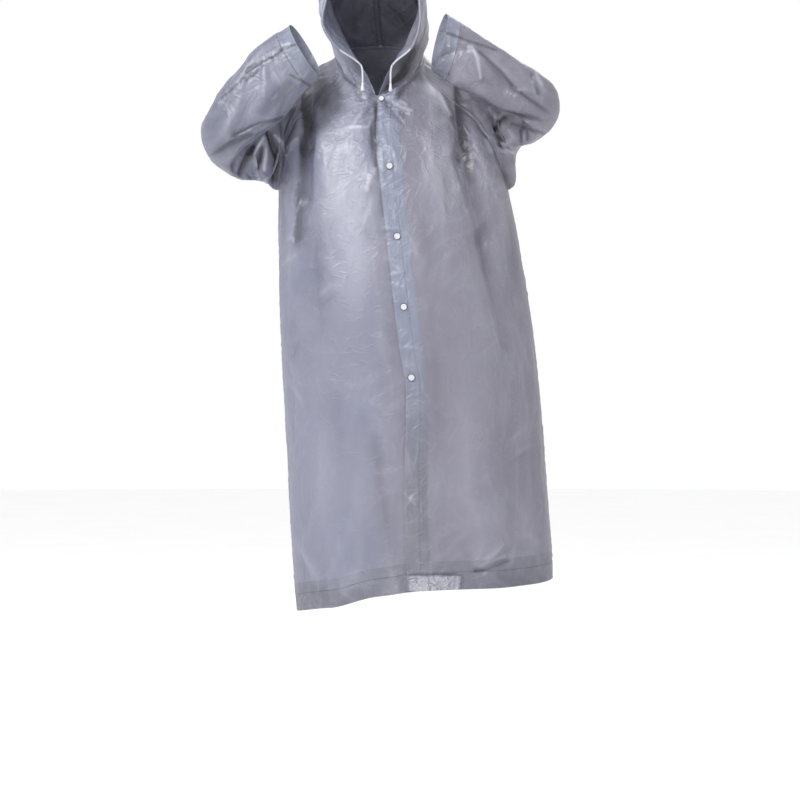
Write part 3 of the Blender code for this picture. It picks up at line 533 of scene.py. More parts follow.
# Where the photo shows the film lighter, or darker where the amount is negative: a patch's middle,
# its half sizes, and how square it is, from 2 for a soft oval to 12 for a sharp block
Tone = namedtuple("Tone", "px py half_width half_height squareness amount")
# Mostly painted light and painted shade: light on the chest, the lower front, the sides and the right
# shoulder, shade at the throat and in the hem's crease, and darker hem bands that are partly painted shade
# and partly the doubled film's own colour
FRONT_SHADING_AND_TONE = [
    (345, 185, 22, 80, 2, 0.34),
    (358, 262, 15, 56, 2, 0.18),
    (318, 450, 60, 120, 2, 0.09),
    (440, 170, 24, 60, 2, 0.09),
    (528, 140, 24, 12, 2, 0.26),
    (434, 574, 27, 1.2, 4, -0.45),
    (506, 584, 42, 12, 3, -0.22),
    (403, 92, 14, 6, 2, -0.25),
    (433, 84, 10, 16, 2, 0.45),
    (335, 600, 50, 11, 4, -0.15),
]
# A painted highlight: the doubled hem's shine, painted lighter
PAINTED_SHINE = [
    (434.5, 584, 26.5, 9, 12, 0.42),
]
# Painted shade on the cuffs and the forearm, and a little painted light on the upper arm
SLEEVE_PAINTED_SHADING = [
    (312, 66, 6, 10, 2, -0.30),
    (520, 95, 24, 22, 2, -0.12),
    (440, 58, 13, 30, 4, -0.35),
    (530, 138, 20, 10, 2, 0.12),
]
# Painted light on the hood's edges, which are lit through from behind
HOOD_PAINTED_SHADING = [
    (329, 24, 8, 24, 2, 0.40),
    (420, 20, 8, 24, 2, 0.25),
]

# The folds that the photo shows darkest and brightest, between two of its pixels. left and right are
# how far a fold spreads to either side of its line, in pixels. depth is how far the film sinks there, in
# millimetres, and amount is how bright it is, or how dark where it is negative.
PhotoFold = namedtuple("PhotoFold", "start_px start_py end_px end_py left right depth amount")
# Each fold's amount is painted into the colour: painted shade in the fold where it is negative, a painted
# highlight on its ridge where it is positive
FRONT_FOLDS = [
    (303, 86, 302, 104, 1.5, 11, 7, -0.97),
    (302, 104, 304.5, 126, 1.5, 10, 8, -0.97),
    (304.5, 126, 301, 152, 1.5, 8, 9, -0.84),
    (301, 152, 298, 196, 1.5, 10, 9, -0.58),
    (298, 196, 293.5, 236, 1.5, 10, 5, -0.56),
    (292, 100, 282, 130, 8, 8, 0, -0.45),
    (316, 62, 320, 100, 9, 12, 0, -0.75),
    (331, 62, 336, 84, 4, 6, 0, -0.45),
    (334, 92, 345, 96, 5, 5, 0, -0.20),
    (338, 60, 345, 78, 2, 2, 2, -0.60),
    (345, 78, 358, 86, 2, 2, 2, -0.60),
    (350, 82, 362, 99, 2, 2, 2, -0.50),
    (345, 62, 353, 72, 3, 3, -2, 0.25),
    (377, 103, 376, 132, 3, 1.5, 3, -0.85),
    (376, 132, 377, 165, 3, 1.5, 3, -0.60),
    (378, 168, 383, 215, 2, 1, 1, -0.35),
    (370, 176, 367, 190, 2, 2, -2, 0.35),
    (275, 135, 281, 142, 1.5, 1.5, -2, 0.50),
    (281, 142, 286, 155, 1.5, 1.5, -2, 0.50),
    (297, 139, 288, 148, 1.5, 1.5, -2, 0.35),
    (455, 86, 455.5, 104, 1.5, 8, 3, -1.0),
    (455.5, 104, 458, 124, 1.5, 9, 3, -1.0),
    (458, 124, 462, 150, 1.5, 10, 3, -0.90),
    (462, 150, 468, 180, 1.5, 10, 3, -0.68),
    (468, 180, 480, 230, 1.5, 11, 3, -0.44),
    (480, 230, 486, 270, 2, 11, 4, -0.30),
    (486, 270, 505, 345, 4, 12, 2, -0.18),
    (464, 108, 490, 138, 1.5, 1.5, 0, 0.30),
    (474, 103, 479, 120, 3, 3, -1, 0.25),
    (487, 140, 491, 150, 3, 3, -1, 0.40),
    (500, 150, 504, 170, 1.5, 6, 2, -0.35),
    (504, 170, 508, 192, 1.5, 6, 2, -0.35),
    (384, 100, 392, 107, 2, 2, 2, -0.45),
    (392, 107, 404, 114, 2, 2, 2, -0.45),
    (384, 98, 397, 97, 1.5, 1.5, -1, 0.35),
    (400, 101, 406, 105, 1.5, 1.5, -2, 0.40),
    (405, 108, 411, 111, 1.5, 1.5, -2, 0.40),
    (417, 66, 413, 78, 3, 3, 2, -0.35),
    (413, 78, 398, 96, 3, 3, 2, -0.35),
    (421, 63, 424, 78, 2, 2, -2, 0.40),
    (424, 78, 440, 98, 2, 2, -2, 0.35),
    (440, 98, 450, 115, 2, 2, -2, 0.30),
    (352, 126, 362, 112, 1.5, 1.5, 0, 0.22),
    (352, 126, 338, 131, 1.5, 1.5, 0, 0.22),
    (352, 127, 369, 127, 1.5, 1.5, 0, 0.22),
    (369, 127, 376, 113, 1.5, 1.5, 0, 0.22),
    (475, 571, 484, 570.5, 1.8, 1.8, 4, -0.75),
    (484, 570.5, 509, 561, 1.6, 1.2, 4, -0.45),
    (480, 566, 505, 556, 1.5, 1.5, -1, 0.12),
    (486, 564, 503, 545, 1.5, 1.5, -1, 0.08),
]
FOREARM_RIGHT_FOLDS = [
    (290, 85, 262, 112, 5, 5, 0, -0.30),
    (283, 118, 262, 123, 2, 2.5, 2, -0.60),
    (262, 123, 235, 135, 2, 4, 3, -0.60),
    (250, 134, 230, 142, 1.5, 3, 2, -0.50),
    (230, 142, 211, 156, 1.5, 3, 2, -0.50),
    (295, 45, 284, 48, 1.5, 1.5, 1, -0.60),
    (284, 48, 273, 57, 1.5, 1.5, 1, -0.60),
    (273, 57, 250, 68, 1.5, 1.5, 1, -0.60),
    (250, 68, 240, 82, 1.5, 1.5, 1, -0.55),
    (240, 82, 222, 98, 1.5, 1.5, 1, -0.40),
    (262, 67, 247, 80, 1.5, 1.5, 1, -0.40),
    (289, 44, 284, 46, 2, 2, -1, 0.50),
    (259, 68, 254, 72, 2, 2, -1, 0.50),
    (270, 60, 262, 64, 2, 2, -1, 0.35),
    (263, 70, 264, 96, 1.5, 1.5, -1, 0.22),
    (290, 75, 310, 85, 1.5, 1.5, 0, -0.45),
]
UPPER_ARM_RIGHT_FOLDS = [
    (253, 147, 240, 175, 2, 3, 4, -0.85),
    (262, 148, 258, 168, 1.5, 2, 4, -0.85),
    (268, 133, 273, 145, 2.5, 3, 5, -0.97),
    (273, 145, 278, 160, 2.5, 3, 5, -0.97),
    (278, 160, 276, 182, 2.5, 2.5, 5, -0.97),
    (252, 155, 257, 167, 1.5, 1.5, -4, 0.75),
    (263, 138, 252, 155, 1.5, 1.5, -4, 0.75),
    (265, 150, 264, 168, 2.5, 2.5, -3, 0.45),
    (258, 172, 266, 180, 3, 3, -2, 0.35),
    (232, 158, 234, 176, 1.5, 3, 2, -0.50),
]
FOREARM_LEFT_FOLDS = [
    (480, 52, 500, 70, 2, 1.5, 2, -0.50),
    (500, 70, 513, 86, 2, 1.5, 2, -0.50),
    (513, 86, 527, 97, 2, 1.5, 2, -0.50),
    (527, 97, 553, 115, 2, 1.5, 2, -0.45),
    (438, 31, 450, 34, 1.5, 1.5, 1, -0.50),
    (450, 34, 470, 42, 1.5, 1.5, 1, -0.50),
    (470, 42, 496, 50, 1.5, 1.5, 1, -0.45),
    (531, 75, 538, 94, 1.5, 3, 3, -0.50),
    (535, 76, 541, 85, 2, 2, -2, 0.35),
    (500, 113, 525, 118, 2, 2, 3, -0.65),
    (525, 118, 552, 123, 2, 2, 3, -0.50),
    (512, 121, 529, 121, 1.5, 1.5, -2, 0.45),
    (472, 47, 478, 58, 1.5, 1.5, -2, 0.40),
    (478, 58, 481, 78, 1.5, 1.5, -2, 0.35),
    (455, 53, 454, 62, 1.5, 1.5, -1, 0.25),
    (457, 88, 480, 100, 2, 5, 0, -0.35),
    (480, 100, 505, 116, 2, 5, 0, -0.40),
    (437, 58, 466, 48, 1.5, 1.5, 1, -0.25),
]
UPPER_ARM_LEFT_FOLDS = [
    (504, 117, 498, 122, 2, 2, 4, -0.97),
    (498, 122, 495, 131, 2, 2, 5, -0.97),
    (495, 131, 503, 141, 2, 2, 5, -0.97),
    (490, 110, 499, 119, 2.5, 2.5, -3, 0.45),
    (511, 124, 545, 135, 1.5, 2, 3, -0.55),
    (499, 145, 501, 147, 2, 2, 3, -0.90),
    (503, 150, 512, 152, 2, 2, -2, 0.40),
    (526, 127, 527, 140, 1.5, 1.5, 2, -0.55),
    (519, 126, 521, 142, 1.5, 1.5, 2, -0.35),
]
HOOD_FOLDS = [
    (413, 48, 404, 68, 7, 5, 0, -0.97),
    (404, 68, 386, 92, 4, 6, 0, -0.90),
    (335, 55, 341, 72, 2, 2, 1, -0.45),
]
SHARPEST = 3.4  # the mesh holds no flank of a fold that is narrower than this, in pixels

# Welds and bands, from the free edge
HEM_WELD, HEM_BAND = 0.034, 0.056
PLACKET_WELD, PLACKET_FADE = 0.0275, 0.004
CUFF_BAND = 0.029
HOOD_BAND = 0.020
BLUE_FROM, BLUE_TO = -0.90, -0.50  # the heights between which doubled film turns from grey to blue
WARM_FROM, WARM_TO = -0.06, 0.08  # the places across between which the film turns from blue to warmer grey
SHINE_CRINKLE = 12.0  # how much more crinkled the patch of painted shine is
CLOUDED, DOUBLED = 0.40, 0.80  # how far clouds and doubled film change the film's colour
RIDGE_WHITENING_AND_HIGHLIGHT, GROOVE_PAINTED_SHADE = 0.35, 0.60  # how far ridges turn bright, partly the film's whitening and partly a painted highlight, and grooves dark with painted shade
# Painted glints on the fine crinkles, and a painted highlight along the film's cut edges
CRINKLE_PAINTED_GLINT, EDGE_PAINTED_HIGHLIGHT = 0.06, 0.12
FILM_ROUGHNESS, CLOUD_ROUGHNESS = 0.40, 0.14
FILM_COAT, FILM_MILKINESS = 0.04, 0.35
# Relief too fine for the mesh, in metres: each run of facets has its waves a metre and its height
LONG_FACETS = [(27.0, 0.0034), (80.0, 0.0012)]
SHORT_FACETS = (190.0, 0.00038)
CRINKLE_HEIGHT, GRAIN_HEIGHT, GATHER_HEIGHT = 0.00075, 0.00012, 0.0018
DOUBLED_HEIGHT, WELD_DEPTH = 0.0003, 0.0004
PLACKET_CRINKLE = 0.4  # the same for the placket
FOREARM_SHADE = 0.12  # a painted shade: how much darker the film of the raised forearms is drawn
HOOD_LENGTH, HOOD_RISE = 0.42, 0.30  # about how far a half runs along its rim and up

CORD_POINTS, TAIL_POINTS = 120, 25
CHANNEL_FROM = 9  # the point of the cord at which the film's rolled edge covers it, from either end
CHANNEL_RADIUS = 0.0027
BRAID_PITCH = 0.0048
BRAID_STRANDS = 4
STUD_GAP = 0.0004
STUD_THICKNESS = 0.0028
STUD_CAP_SHARE = 0.92  # the share of a stud's radius that its white cap takes up
# A stud's cap from the middle of its foot: shares of its radius, of its height and of its dimple's depth
STUD_CAP_PROFILE = [
    (0, 0, 0),
    (1, 0, 0),
    (1, 0.55, 0),
    (0.90, 1, 0),
    (0.62, 1, 0),
    (0.52, 1, 1),
    (0.26, 1, 1),
    (0.20, 1, 0.4),
    (0, 1, 0.4),
]
# The ring round it, drawn dark to stand for the shadow and gap round the cap: shares of the cap's radius, and
# heights
STUD_RING_PROFILE = [(0.90, 0.0002), (1.26, 0), (1.28, 0.0004), (1.18, 0.0009), (0.90, 0.0009)]
CORD_END_PROFILE = [  # radius and height, from the top down and up into the hollow foot
    (0.0, 0.0),
    (0.0022, 0.0),
    (0.0025, -0.0060),
    (0.0037, -0.0135),
    (0.0041, -0.0158),
    (0.0039, -0.0170),
    (0.0030, -0.0170),
    (0.0027, -0.0125),
    (0.0, -0.0120),
]

# The flat cut of each piece, in metres and square metres: width, length, area
BACK_CUT = (0.70, 1.19, 0.65)
FRONT_LEFT_CUT = (0.38, 1.11, 0.335)
FRONT_RIGHT_CUT = (0.36, 1.14, 0.335)
PLACKET_CUT = (0.055, 1.01, 0.0485)

# Studio
WORLD_STRENGTH = 1.0
FLOOR_HEIGHT, FLOOR_RADIUS = -1.43, 14.0
Lamp = namedtuple("Lamp", "name x y z size watts")
LIGHTS = [
    ("key_light", -1.9, -3.3, 1.9, 1.1, 205),
    ("fill_light", 2.4, -2.6, 0.4, 2.2, 15),
    ("back_light", 0.8, 2.6, 1.8, 2.0, 40),
]
LIGHTS_AIM = (0.02, 0.0, -0.45)


def columns_of(rows, names):
    """A table as one array for each named column."""
    return {name: np.array(values) for name, values in zip(names, zip(*rows))}


def smooth_curve(knots, values, at, steady=False):
    """The cubic curve through the values at the knots, read at any places. A steady one never overshoots."""
    knots, values, at = (np.asarray(a, float) for a in (knots, values, at))
    slopes = np.gradient(values, knots, axis=0)
    if steady:
        steps = np.diff(values) / np.diff(knots)
        before, after = np.append(steps[0], steps), np.append(steps, steps[-1])
        slopes = np.where(before * after > 0, np.sign(before) * np.minimum(abs(before), abs(after)), 0.0)
    i = np.clip(np.searchsorted(knots, at, side="right") - 1, 0, len(knots) - 2)
    span = knots[i + 1] - knots[i]
    t = np.clip((at - knots[i]) / span, 0, 1)
    if values.ndim > 1:
        span, t = span[..., None], t[..., None]
    start, end = values[i], values[i + 1]
    return (
        (2 * t**3 - 3 * t**2 + 1) * start
        + (t**3 - 2 * t**2 + t) * span * slopes[i]
        + (3 * t**2 - 2 * t**3) * end
        + (t**3 - t**2) * span * slopes[i + 1]
    )


def route_curve(points, at):
    """The smooth curve through the points, read at shares of its length from 0 to 1."""
    points = np.asarray(points, float)
    lengths = np.linalg.norm(np.diff(points, axis=0), axis=1)
    knots = np.concatenate([[0], np.cumsum(lengths)]) / lengths.sum()
    return smooth_curve(knots, points, at)


def ease(low, high, x):
    t = np.clip((np.asarray(x, float) - low) / (high - low), 0, 1)
    return t * t * (3 - 2 * t)


def unit(vectors):
    return vectors / np.linalg.norm(vectors, axis=-1, keepdims=True)


BODY = columns_of(BODY_RINGS, BODY_COLUMNS)
RAGLAN = columns_of(RAGLAN_SEAMS, RAGLAN_COLUMNS)


def body_value(name, height):
    return smooth_curve(BODY["height"], BODY[name], height, steady=True)


def seam_angle(name, height):
    return smooth_curve(RAGLAN["height"], RAGLAN[name], height, steady=True)


def table_curve(table, x):
    knots, values = np.array(table, float).T
    return smooth_curve(knots, values, x, steady=True)


def angle_at(offset, height):
    """The ring angle, in degrees, of a point at this distance from the ring's centre line."""
    share = offset / (body_value("half_width", height) * (1 + SQUARENESS))
    return np.degrees(np.arcsin(np.clip(share, -1, 1)))


def plain_body_point(angle, height):
    """The body's surface without its folds. angle: degrees from the centre front, + to the wearer's left."""
    a = np.radians(angle)
    across, ahead = np.sin(a), np.cos(a)
    depth = np.where(ahead > 0, body_value("front", height), body_value("back", height))
    x = body_value("centre", height) + body_value("half_width", height) * across * (1 + SQUARENESS * ahead**2)
    y = -depth * ahead * (1 + SQUARENESS * across**2)
    neck = table_curve(NECK_RISE, np.abs(angle)) * ease(UNDERARM_HEIGHT, NECK_HEIGHT, height)
    hem = table_curve(HEM_RISE, angle) * ease(HEM_RISE_FROM, HEM_HEIGHT, height)
    return np.stack([x, y, height + neck + hem], axis=-1)


def surface_normal(surface, u, v, step_u, step_v):
    """Outward normals of a surface whose u runs to the left and v up, seen from outside."""
    across = surface(u + step_u, v) - surface(u - step_u, v)
    up = surface(u, v + step_v) - surface(u, v - step_v)
    return unit(np.cross(across, up))


def along_line(x, z, start_x, start_z, end_x, end_z):
    """Each point's share along a line in a flat view, and its distance from it."""
    run_x, run_z = end_x - start_x, end_z - start_z
    off_x, off_z = x - start_x, z - start_z
    t = np.clip((off_x * run_x + off_z * run_z) / (run_x**2 + run_z**2), 0, 1)
    return t, np.hypot(off_x - t * run_x, off_z - t * run_z)


def fold_depth(folds, x, z):
    """The summed depth of folds that run from start to end in a flat view."""
    total = np.zeros_like(x)
    for fold in folds:
        t, away = along_line(x, z, fold.start_x, fold.start_z, fold.end_x, fold.end_z)
        depth = fold.start_depth + (fold.end_depth - fold.start_depth) * t
        total += depth * np.exp(-((away / fold.half_width) ** 2))
    return total


def body_point(angle, height):
    """The body's surface with its folds pressed in along its normals."""
    angle, height = np.broadcast_arrays(np.asarray(angle, float), np.asarray(height, float))
    plain = plain_body_point(angle, height)
    normal = surface_normal(plain_body_point, angle, height, *NORMAL_STEPS)
    depth = np.zeros_like(angle)
    for view, ahead in (("front", np.cos(np.radians(angle))), ("back", -np.cos(np.radians(angle)))):
        folds = [fold for fold in map(BodyFold._make, BODY_FOLDS) if fold.view == view]
        depth += fold_depth(folds, plain[..., 0], plain[..., 2]) * ease(0.0, 0.6, ahead)
    return plain - normal * depth[..., None]


def moved_out(angle, height, distance):
    """Points of the body moved out along its normals."""
    normal = surface_normal(body_point, angle, height, *NORMAL_STEPS)
    return body_point(angle, height) + normal * np.broadcast_to(distance, np.shape(angle))[..., None]


def row_height(v):
    """The ring height of a panel's row."""
    return HEM_HEIGHT + (NECK_HEIGHT - HEM_HEIGHT) * v


def front_left_point(u, v):
    """The left front, from its edge on the placket out to the side seam."""
    height = row_height(v)
    inner = angle_at(body_value("edge", height), height)
    return body_point(inner + (seam_angle("front", height) - inner) * u, height)


def front_right_point(u, v):
    """The right front, from its side seam to its edge, which sinks under the left front."""
    height = row_height(v)
    outer = -seam_angle("front", height)
    inner = angle_at(body_value("edge", height) + UNDERLAP, height)
    angle = outer + (inner - outer) * u
    from_edge = body_point(angle, height)[..., 0] - body_value("centre", height) - body_value("edge", height)
    return moved_out(angle, height, -UNDERLAP_SINK * ease(-UNDERLAP_RISE, -0.002, from_edge))


def back_point(u, v):
    """The back panel, from the wearer's left side seam round to the right one."""
    height = row_height(v)
    start = seam_angle("back", height)
    angle = start + (360 - 2 * start) * u
    return body_point(angle - 360 * (angle > 180), height)


def placket_point(u, v):
    """The placket, which comes down onto the front along its welded side."""
    height = row_height(v)
    angle = angle_at(body_value("edge", height) + PLACKET_WIDTH * u, height)
    return moved_out(angle, height, PLACKET_OUT * (1 - PLACKET_LANDING * ease(0.75, 1.0, u)))


def raglan_loop(u, side):
    """The edge that a sleeve is welded to, up the front seam, along the neckline and down the back seam, and
    the direction in which the sleeve leaves it: straight out under the arm, along the shoulder at the neck.
    """
    parts = 2 * LOOP_SEAM_PARTS + LOOP_NECK_PARTS
    seam_share, neck_share = LOOP_SEAM_PARTS / parts, LOOP_NECK_PARTS / parts
    climb = np.where(u < 0.5, np.clip(u / seam_share, 0, 1), np.clip((1 - u) / seam_share, 0, 1))
    height = UNDERARM_HEIGHT + (NECK_HEIGHT - UNDERARM_HEIGHT) * climb
    front, back = seam_angle("front", height), seam_angle("back", height)
    across = np.clip((u - seam_share) / neck_share, 0, 1)
    angle = side * (front + (back - front) * across)
    edge = body_point(angle, height)
    normal = surface_normal(body_point, angle, height, *NORMAL_STEPS)
    backwards = unit(body_point(angle + side, height) - body_point(angle - side, height))
    downwards = unit(body_point(angle, height - 0.01) - edge)
    inwards = backwards * (1 - 2 * across)[..., None]
    along = np.where(u < 0.5, ease(0.35, 1.0, climb), climb)[..., None]
    leave = inwards * along + normal * (1 - along) + downwards * ease(0.5, 1.0, climb)[..., None]
    return edge, unit(leave)


def sleeve_surface(rows, folds, side):
    """The function that places a sleeve's points: u round it from under the arm, v from seam to cuff."""
    centres = np.array([row[:3] for row in rows])
    lengths = np.linalg.norm(np.diff(centres, axis=0), axis=1)
    knots = np.concatenate([[0], np.cumsum(lengths)]) / lengths.sum()
    table = columns_of(rows, SLEEVE_COLUMNS)

    def tube(u, t):
        """A point on the flattened tube, and its section's centre, at a share t of the way to the cuff."""
        centre = smooth_curve(knots, centres, t)
        ahead = unit(smooth_curve(knots, centres, t + 0.01) - smooth_curve(knots, centres, t - 0.01))
        lean = np.radians(smooth_curve(knots, table["lean"], t))
        down = np.stack([np.sin(lean), np.zeros_like(lean), -np.cos(lean)], axis=-1)
        out = -side * unit(np.cross(ahead, down))
        turn = 2 * math.pi * u
        sine = np.sin(turn)
        wide = smooth_curve(knots, table["half_width"], t) * np.cos(turn)
        thick = smooth_curve(knots, table["half_thickness"], t) * np.sign(sine)
        thick = thick * np.abs(sine) ** EDGE_SHARPNESS
        skew = CUFF_SKEW * sine * ease(0.65, 1.0, t)
        point = centre + down * wide[..., None] + out * thick[..., None] + ahead * skew[..., None]
        return point, centre

    def shoulder(u, t):
        """The stretch that leads from the raglan seam to the tube, which it meets at t = 1."""
        start, leave = raglan_loop(np.mod(u, 1.0), side)
        end, centre = tube(u, np.zeros_like(t))
        arrive = unit(tube(u, np.full_like(t, 0.02))[0] - end)
        span = np.linalg.norm(end - start, axis=-1, keepdims=True)
        t = t[..., None]
        point = (2 * t**3 - 3 * t**2 + 1) * start + (t**3 - 2 * t**2 + t) * span * leave
        point += (3 * t**2 - 2 * t**3) * end + (t**3 - t**2) * span * arrive
        middle = (raglan_loop(np.array([0.0]), side)[0] + raglan_loop(np.array([0.5]), side)[0])[0] / 2
        return point, middle + (centre - middle) * t

    def place(u, v):
        on_tube, tube_centre = tube(u, np.clip((v - SHOULDER_SHARE) / (1 - SHOULDER_SHARE), 0, 1))
        on_shoulder, shoulder_centre = shoulder(u, np.clip(v / SHOULDER_SHARE, 0, 1))
        past = (v > SHOULDER_SHARE)[..., None]
        points = np.where(past, on_tube, on_shoulder)
        inwards = unit(np.where(past, tube_centre, shoulder_centre) - points)
        depth = np.zeros_like(v)
        for fold in map(SleeveFold._make, folds):
            t, away = sleeve_line(u, v, fold)
            along = np.sin(math.pi * (0.15 + 0.7 * t))
            depth += fold.depth * along * np.exp(-((away / fold.half_width) ** 2))
        return points + inwards * (depth * ease(0.02, 0.15, v))[..., None]

    return place


def sleeve_line(u, v, fold):
    """Each point's share along a fold of a sleeve, and its distance from it."""
    run_u = (fold.end_round - fold.start_round) * SLEEVE_ROUND
    run_v = (fold.end_along - fold.start_along) * SLEEVE_LENGTH
    off_u = (np.mod(u - fold.start_round + 0.5, 1) - 0.5) * SLEEVE_ROUND
    off_v = (v - fold.start_along) * SLEEVE_LENGTH
    t = np.clip((off_u * run_u + off_v * run_v) / (run_u**2 + run_v**2), 0, 1)
    return t, np.hypot(off_u - t * run_u, off_v - t * run_v)


HOOD_NECK_SHARE = HOOD_END + (1 - 2 * HOOD_END) * HOOD_NECK_PART


def neckline_point(angle):
    return body_point(angle, np.full(np.shape(angle), NECK_HEIGHT))


def hood_surface(edge, side):
    """The function that places a hood half's points: u from nape to forehead, v up to the middle seam."""
    nape = side * HOOD_NAPE
    throat = HOOD_THROAT_LEFT if side > 0 else HOOD_THROAT_RIGHT

    def rim(u):
        """The half's lower edge: the neckline from nape to throat, then the face edge up to the forehead."""
        neck = neckline_point(nape + (throat - nape) * np.clip(u / HOOD_NECK_SHARE, 0, 1))
        edge_points = route_curve(edge, np.clip((u - HOOD_NECK_SHARE) / (1 - HOOD_NECK_SHARE), 0, 1))
        return np.where((u < HOOD_NECK_SHARE)[..., None], neck, edge_points)

    wide_from, wide_to = rim(np.array([HOOD_WIDE_FROM, HOOD_WIDE_TO]))[:, 0] * side

    def place(u, v):
        u = HOOD_END + (1 - 2 * HOOD_END) * u
        v = 1 - (1 - v) ** HOOD_CROWDING
        low, high = rim(u), route_curve(HOOD_SEAM, u)
        between = np.clip((u - HOOD_WIDE_FROM) / (HOOD_WIDE_TO - HOOD_WIDE_FROM), 0, 1)
        wanting = np.maximum(wide_from + (wide_to - wide_from) * between - low[..., 0] * side, 0)
        wanting *= np.sin(math.pi * between) ** 0.5 * np.sin(math.pi / 2 * np.clip(v / HOOD_WIDE_BY, 0, 1))
        low = low + np.stack([side * wanting, 0 * wanting, 0 * wanting], axis=-1)
        rising, closing = np.sin(math.pi / 2 * v), 1 - np.cos(math.pi / 2 * v)
        point = low + (high - low) * np.stack([closing, rising, rising], axis=-1)
        swell = np.sin(math.pi * v) * np.sin(math.pi * u) ** 0.7
        point[..., 0] += side * HOOD_FULLNESS * swell
        point[..., 1] += HOOD_BACK_FULLNESS * swell * (1 - ease(0.15, 0.6, u))
        return point

    return place


# ----------------------------------------------------------------------------
# Pressing the creases in
# ----------------------------------------------------------------------------

# A sheet before it is creased: each point's shares across and up, its place, its outward normal, and how
# far it lies from the sheet's four borders.
Film = namedtuple("Film", "u v points normals start end low high")


def in_photo(points):
    """The pixel of the photo at which each point shows."""
    scale = CAMERA_DISTANCE / (CAMERA_DISTANCE + points[:, 1]) / PIXEL
    px = PHOTO_MIDDLE + (points[:, 0] - CAMERA_PLACE[0]) * scale
    py = PHOTO_MIDDLE - (points[:, 2] - CAMERA_PLACE[2]) * scale
    return px, py


def crease_section(away, half_width):
    """A crease's height at a distance from its line: sharp in the middle, with soft flanks."""
    return np.exp(-((away / half_width) ** 1.15))


def taper(t):
    """How a crease grows from its start and dies away at its end."""
    return np.sin(math.pi * (0.14 + 0.72 * t))


def photo_creases(rows, film):
    """The depth of the creases that the photo shows, on film that faces it."""
    px, py = in_photo(film.points)
    depth = np.zeros(len(px))
    for crease in map(Crease._make, rows):
        t, away = along_line(px, py, crease.start_px, crease.start_py, crease.end_px, crease.end_py)
        depth += crease.depth / 1000 * taper(t) * crease_section(away * PIXEL, crease.half_width / 1000)
    return depth * ease(0.0, 0.4, -film.normals[:, 1])


def back_creases(film):
    x, z = film.points[:, 0], film.points[:, 2]
    depth = np.zeros(len(x))
    for crease in map(BackCrease._make, BACK_CREASES):
        t, away = along_line(x, z, crease.start_x, crease.start_z, crease.end_x, crease.end_z)
        depth += crease.depth * taper(t) * crease_section(away, crease.half_width)
    return depth * ease(0.0, 0.4, film.normals[:, 1])


def sleeve_creases(film):
    """The depth of the creases on the sides of a sleeve that the photo hides."""
    depth = np.zeros(len(film.u))
    for crease in map(SleeveFold._make, SLEEVE_CREASES):
        t, away = sleeve_line(film.u, film.v, crease)
        depth += crease.depth * taper(t) * crease_section(away, crease.half_width)
    return depth * ease(-0.35, 0.05, film.normals[:, 1])


def hood_creases(film):
    depth = np.zeros(len(film.u))
    for crease in map(HoodCrease._make, HOOD_CREASES):
        x, z = film.u * HOOD_LENGTH, film.v * HOOD_RISE
        line = (crease.start_along * HOOD_LENGTH, crease.start_up * HOOD_RISE)
        t, away = along_line(x, z, *line, crease.end_along * HOOD_LENGTH, crease.end_up * HOOD_RISE)
        depth += crease.depth * taper(t) * crease_section(away, crease.half_width)
    return depth


def line_distance(lines, film):
    """How far each point shows from the nearest of these lines of the photo."""
    px, py = in_photo(film.points)
    return np.min([along_line(px, py, *line)[1] for line in lines], axis=0) * PIXEL


def noise_at(points, scale, seed):
    """Smooth noise from about -1 to 1. scale is how many waves a metre has along each axis."""
    shift = Vector((seed * 7.3, seed * 3.1, seed * 1.7))
    places = (points * np.array(scale)).tolist()
    return np.array([noise.noise(Vector(place) + shift) for place in places])


def crumple(points, seed):
    """The height of the film's own crumple."""
    height = np.zeros(len(points))
    for number, run in enumerate(map(CrumpleRun._make, CRUMPLE_RUNS)):
        turned = points @ np.array(Matrix.Rotation(math.radians(run.tilt), 3, "Y"))
        swing = noise_at(turned, (run.across, run.across, run.along), seed + number)
        patch = noise_at(turned, (run.across / 3, run.across / 3, run.along / 1.4), seed + number + 40)
        height += run.height * ease(0, 1, 1 - np.abs(swing) / run.share) * ease(-0.05, 0.30, patch)
    return height


def seam_hold(*distances):
    """0 at welded seams, so that neighbours still meet there, and 1 a little way off."""
    hold = 1.0
    for distance in distances:
        hold = hold * ease(0.0, SEAM_HOLD, distance)
    return hold


def puckers(points, away, reach):
    """Small gathers that run off a welded line."""
    return PUCKER_HEIGHT * noise_at(points, (95, 95, 95), 3) * np.exp(-((away / reach) ** 2))


def painted_shading_and_tone(film, rows):
    """How much lighter or darker the film shows at places of the photo."""
    px, py = in_photo(film.points)
    total = np.zeros(len(px))
    for tone in map(Tone._make, rows):
        across, up = np.abs(px - tone.px) / tone.half_width, np.abs(py - tone.py) / tone.half_height
        # Painted light and painted shade, with a little of the film's own colour
        total += tone.amount * np.exp(-(across**tone.squareness) - up**tone.squareness)
    return total * ease(-0.2, 0.15, -film.normals[:, 1])


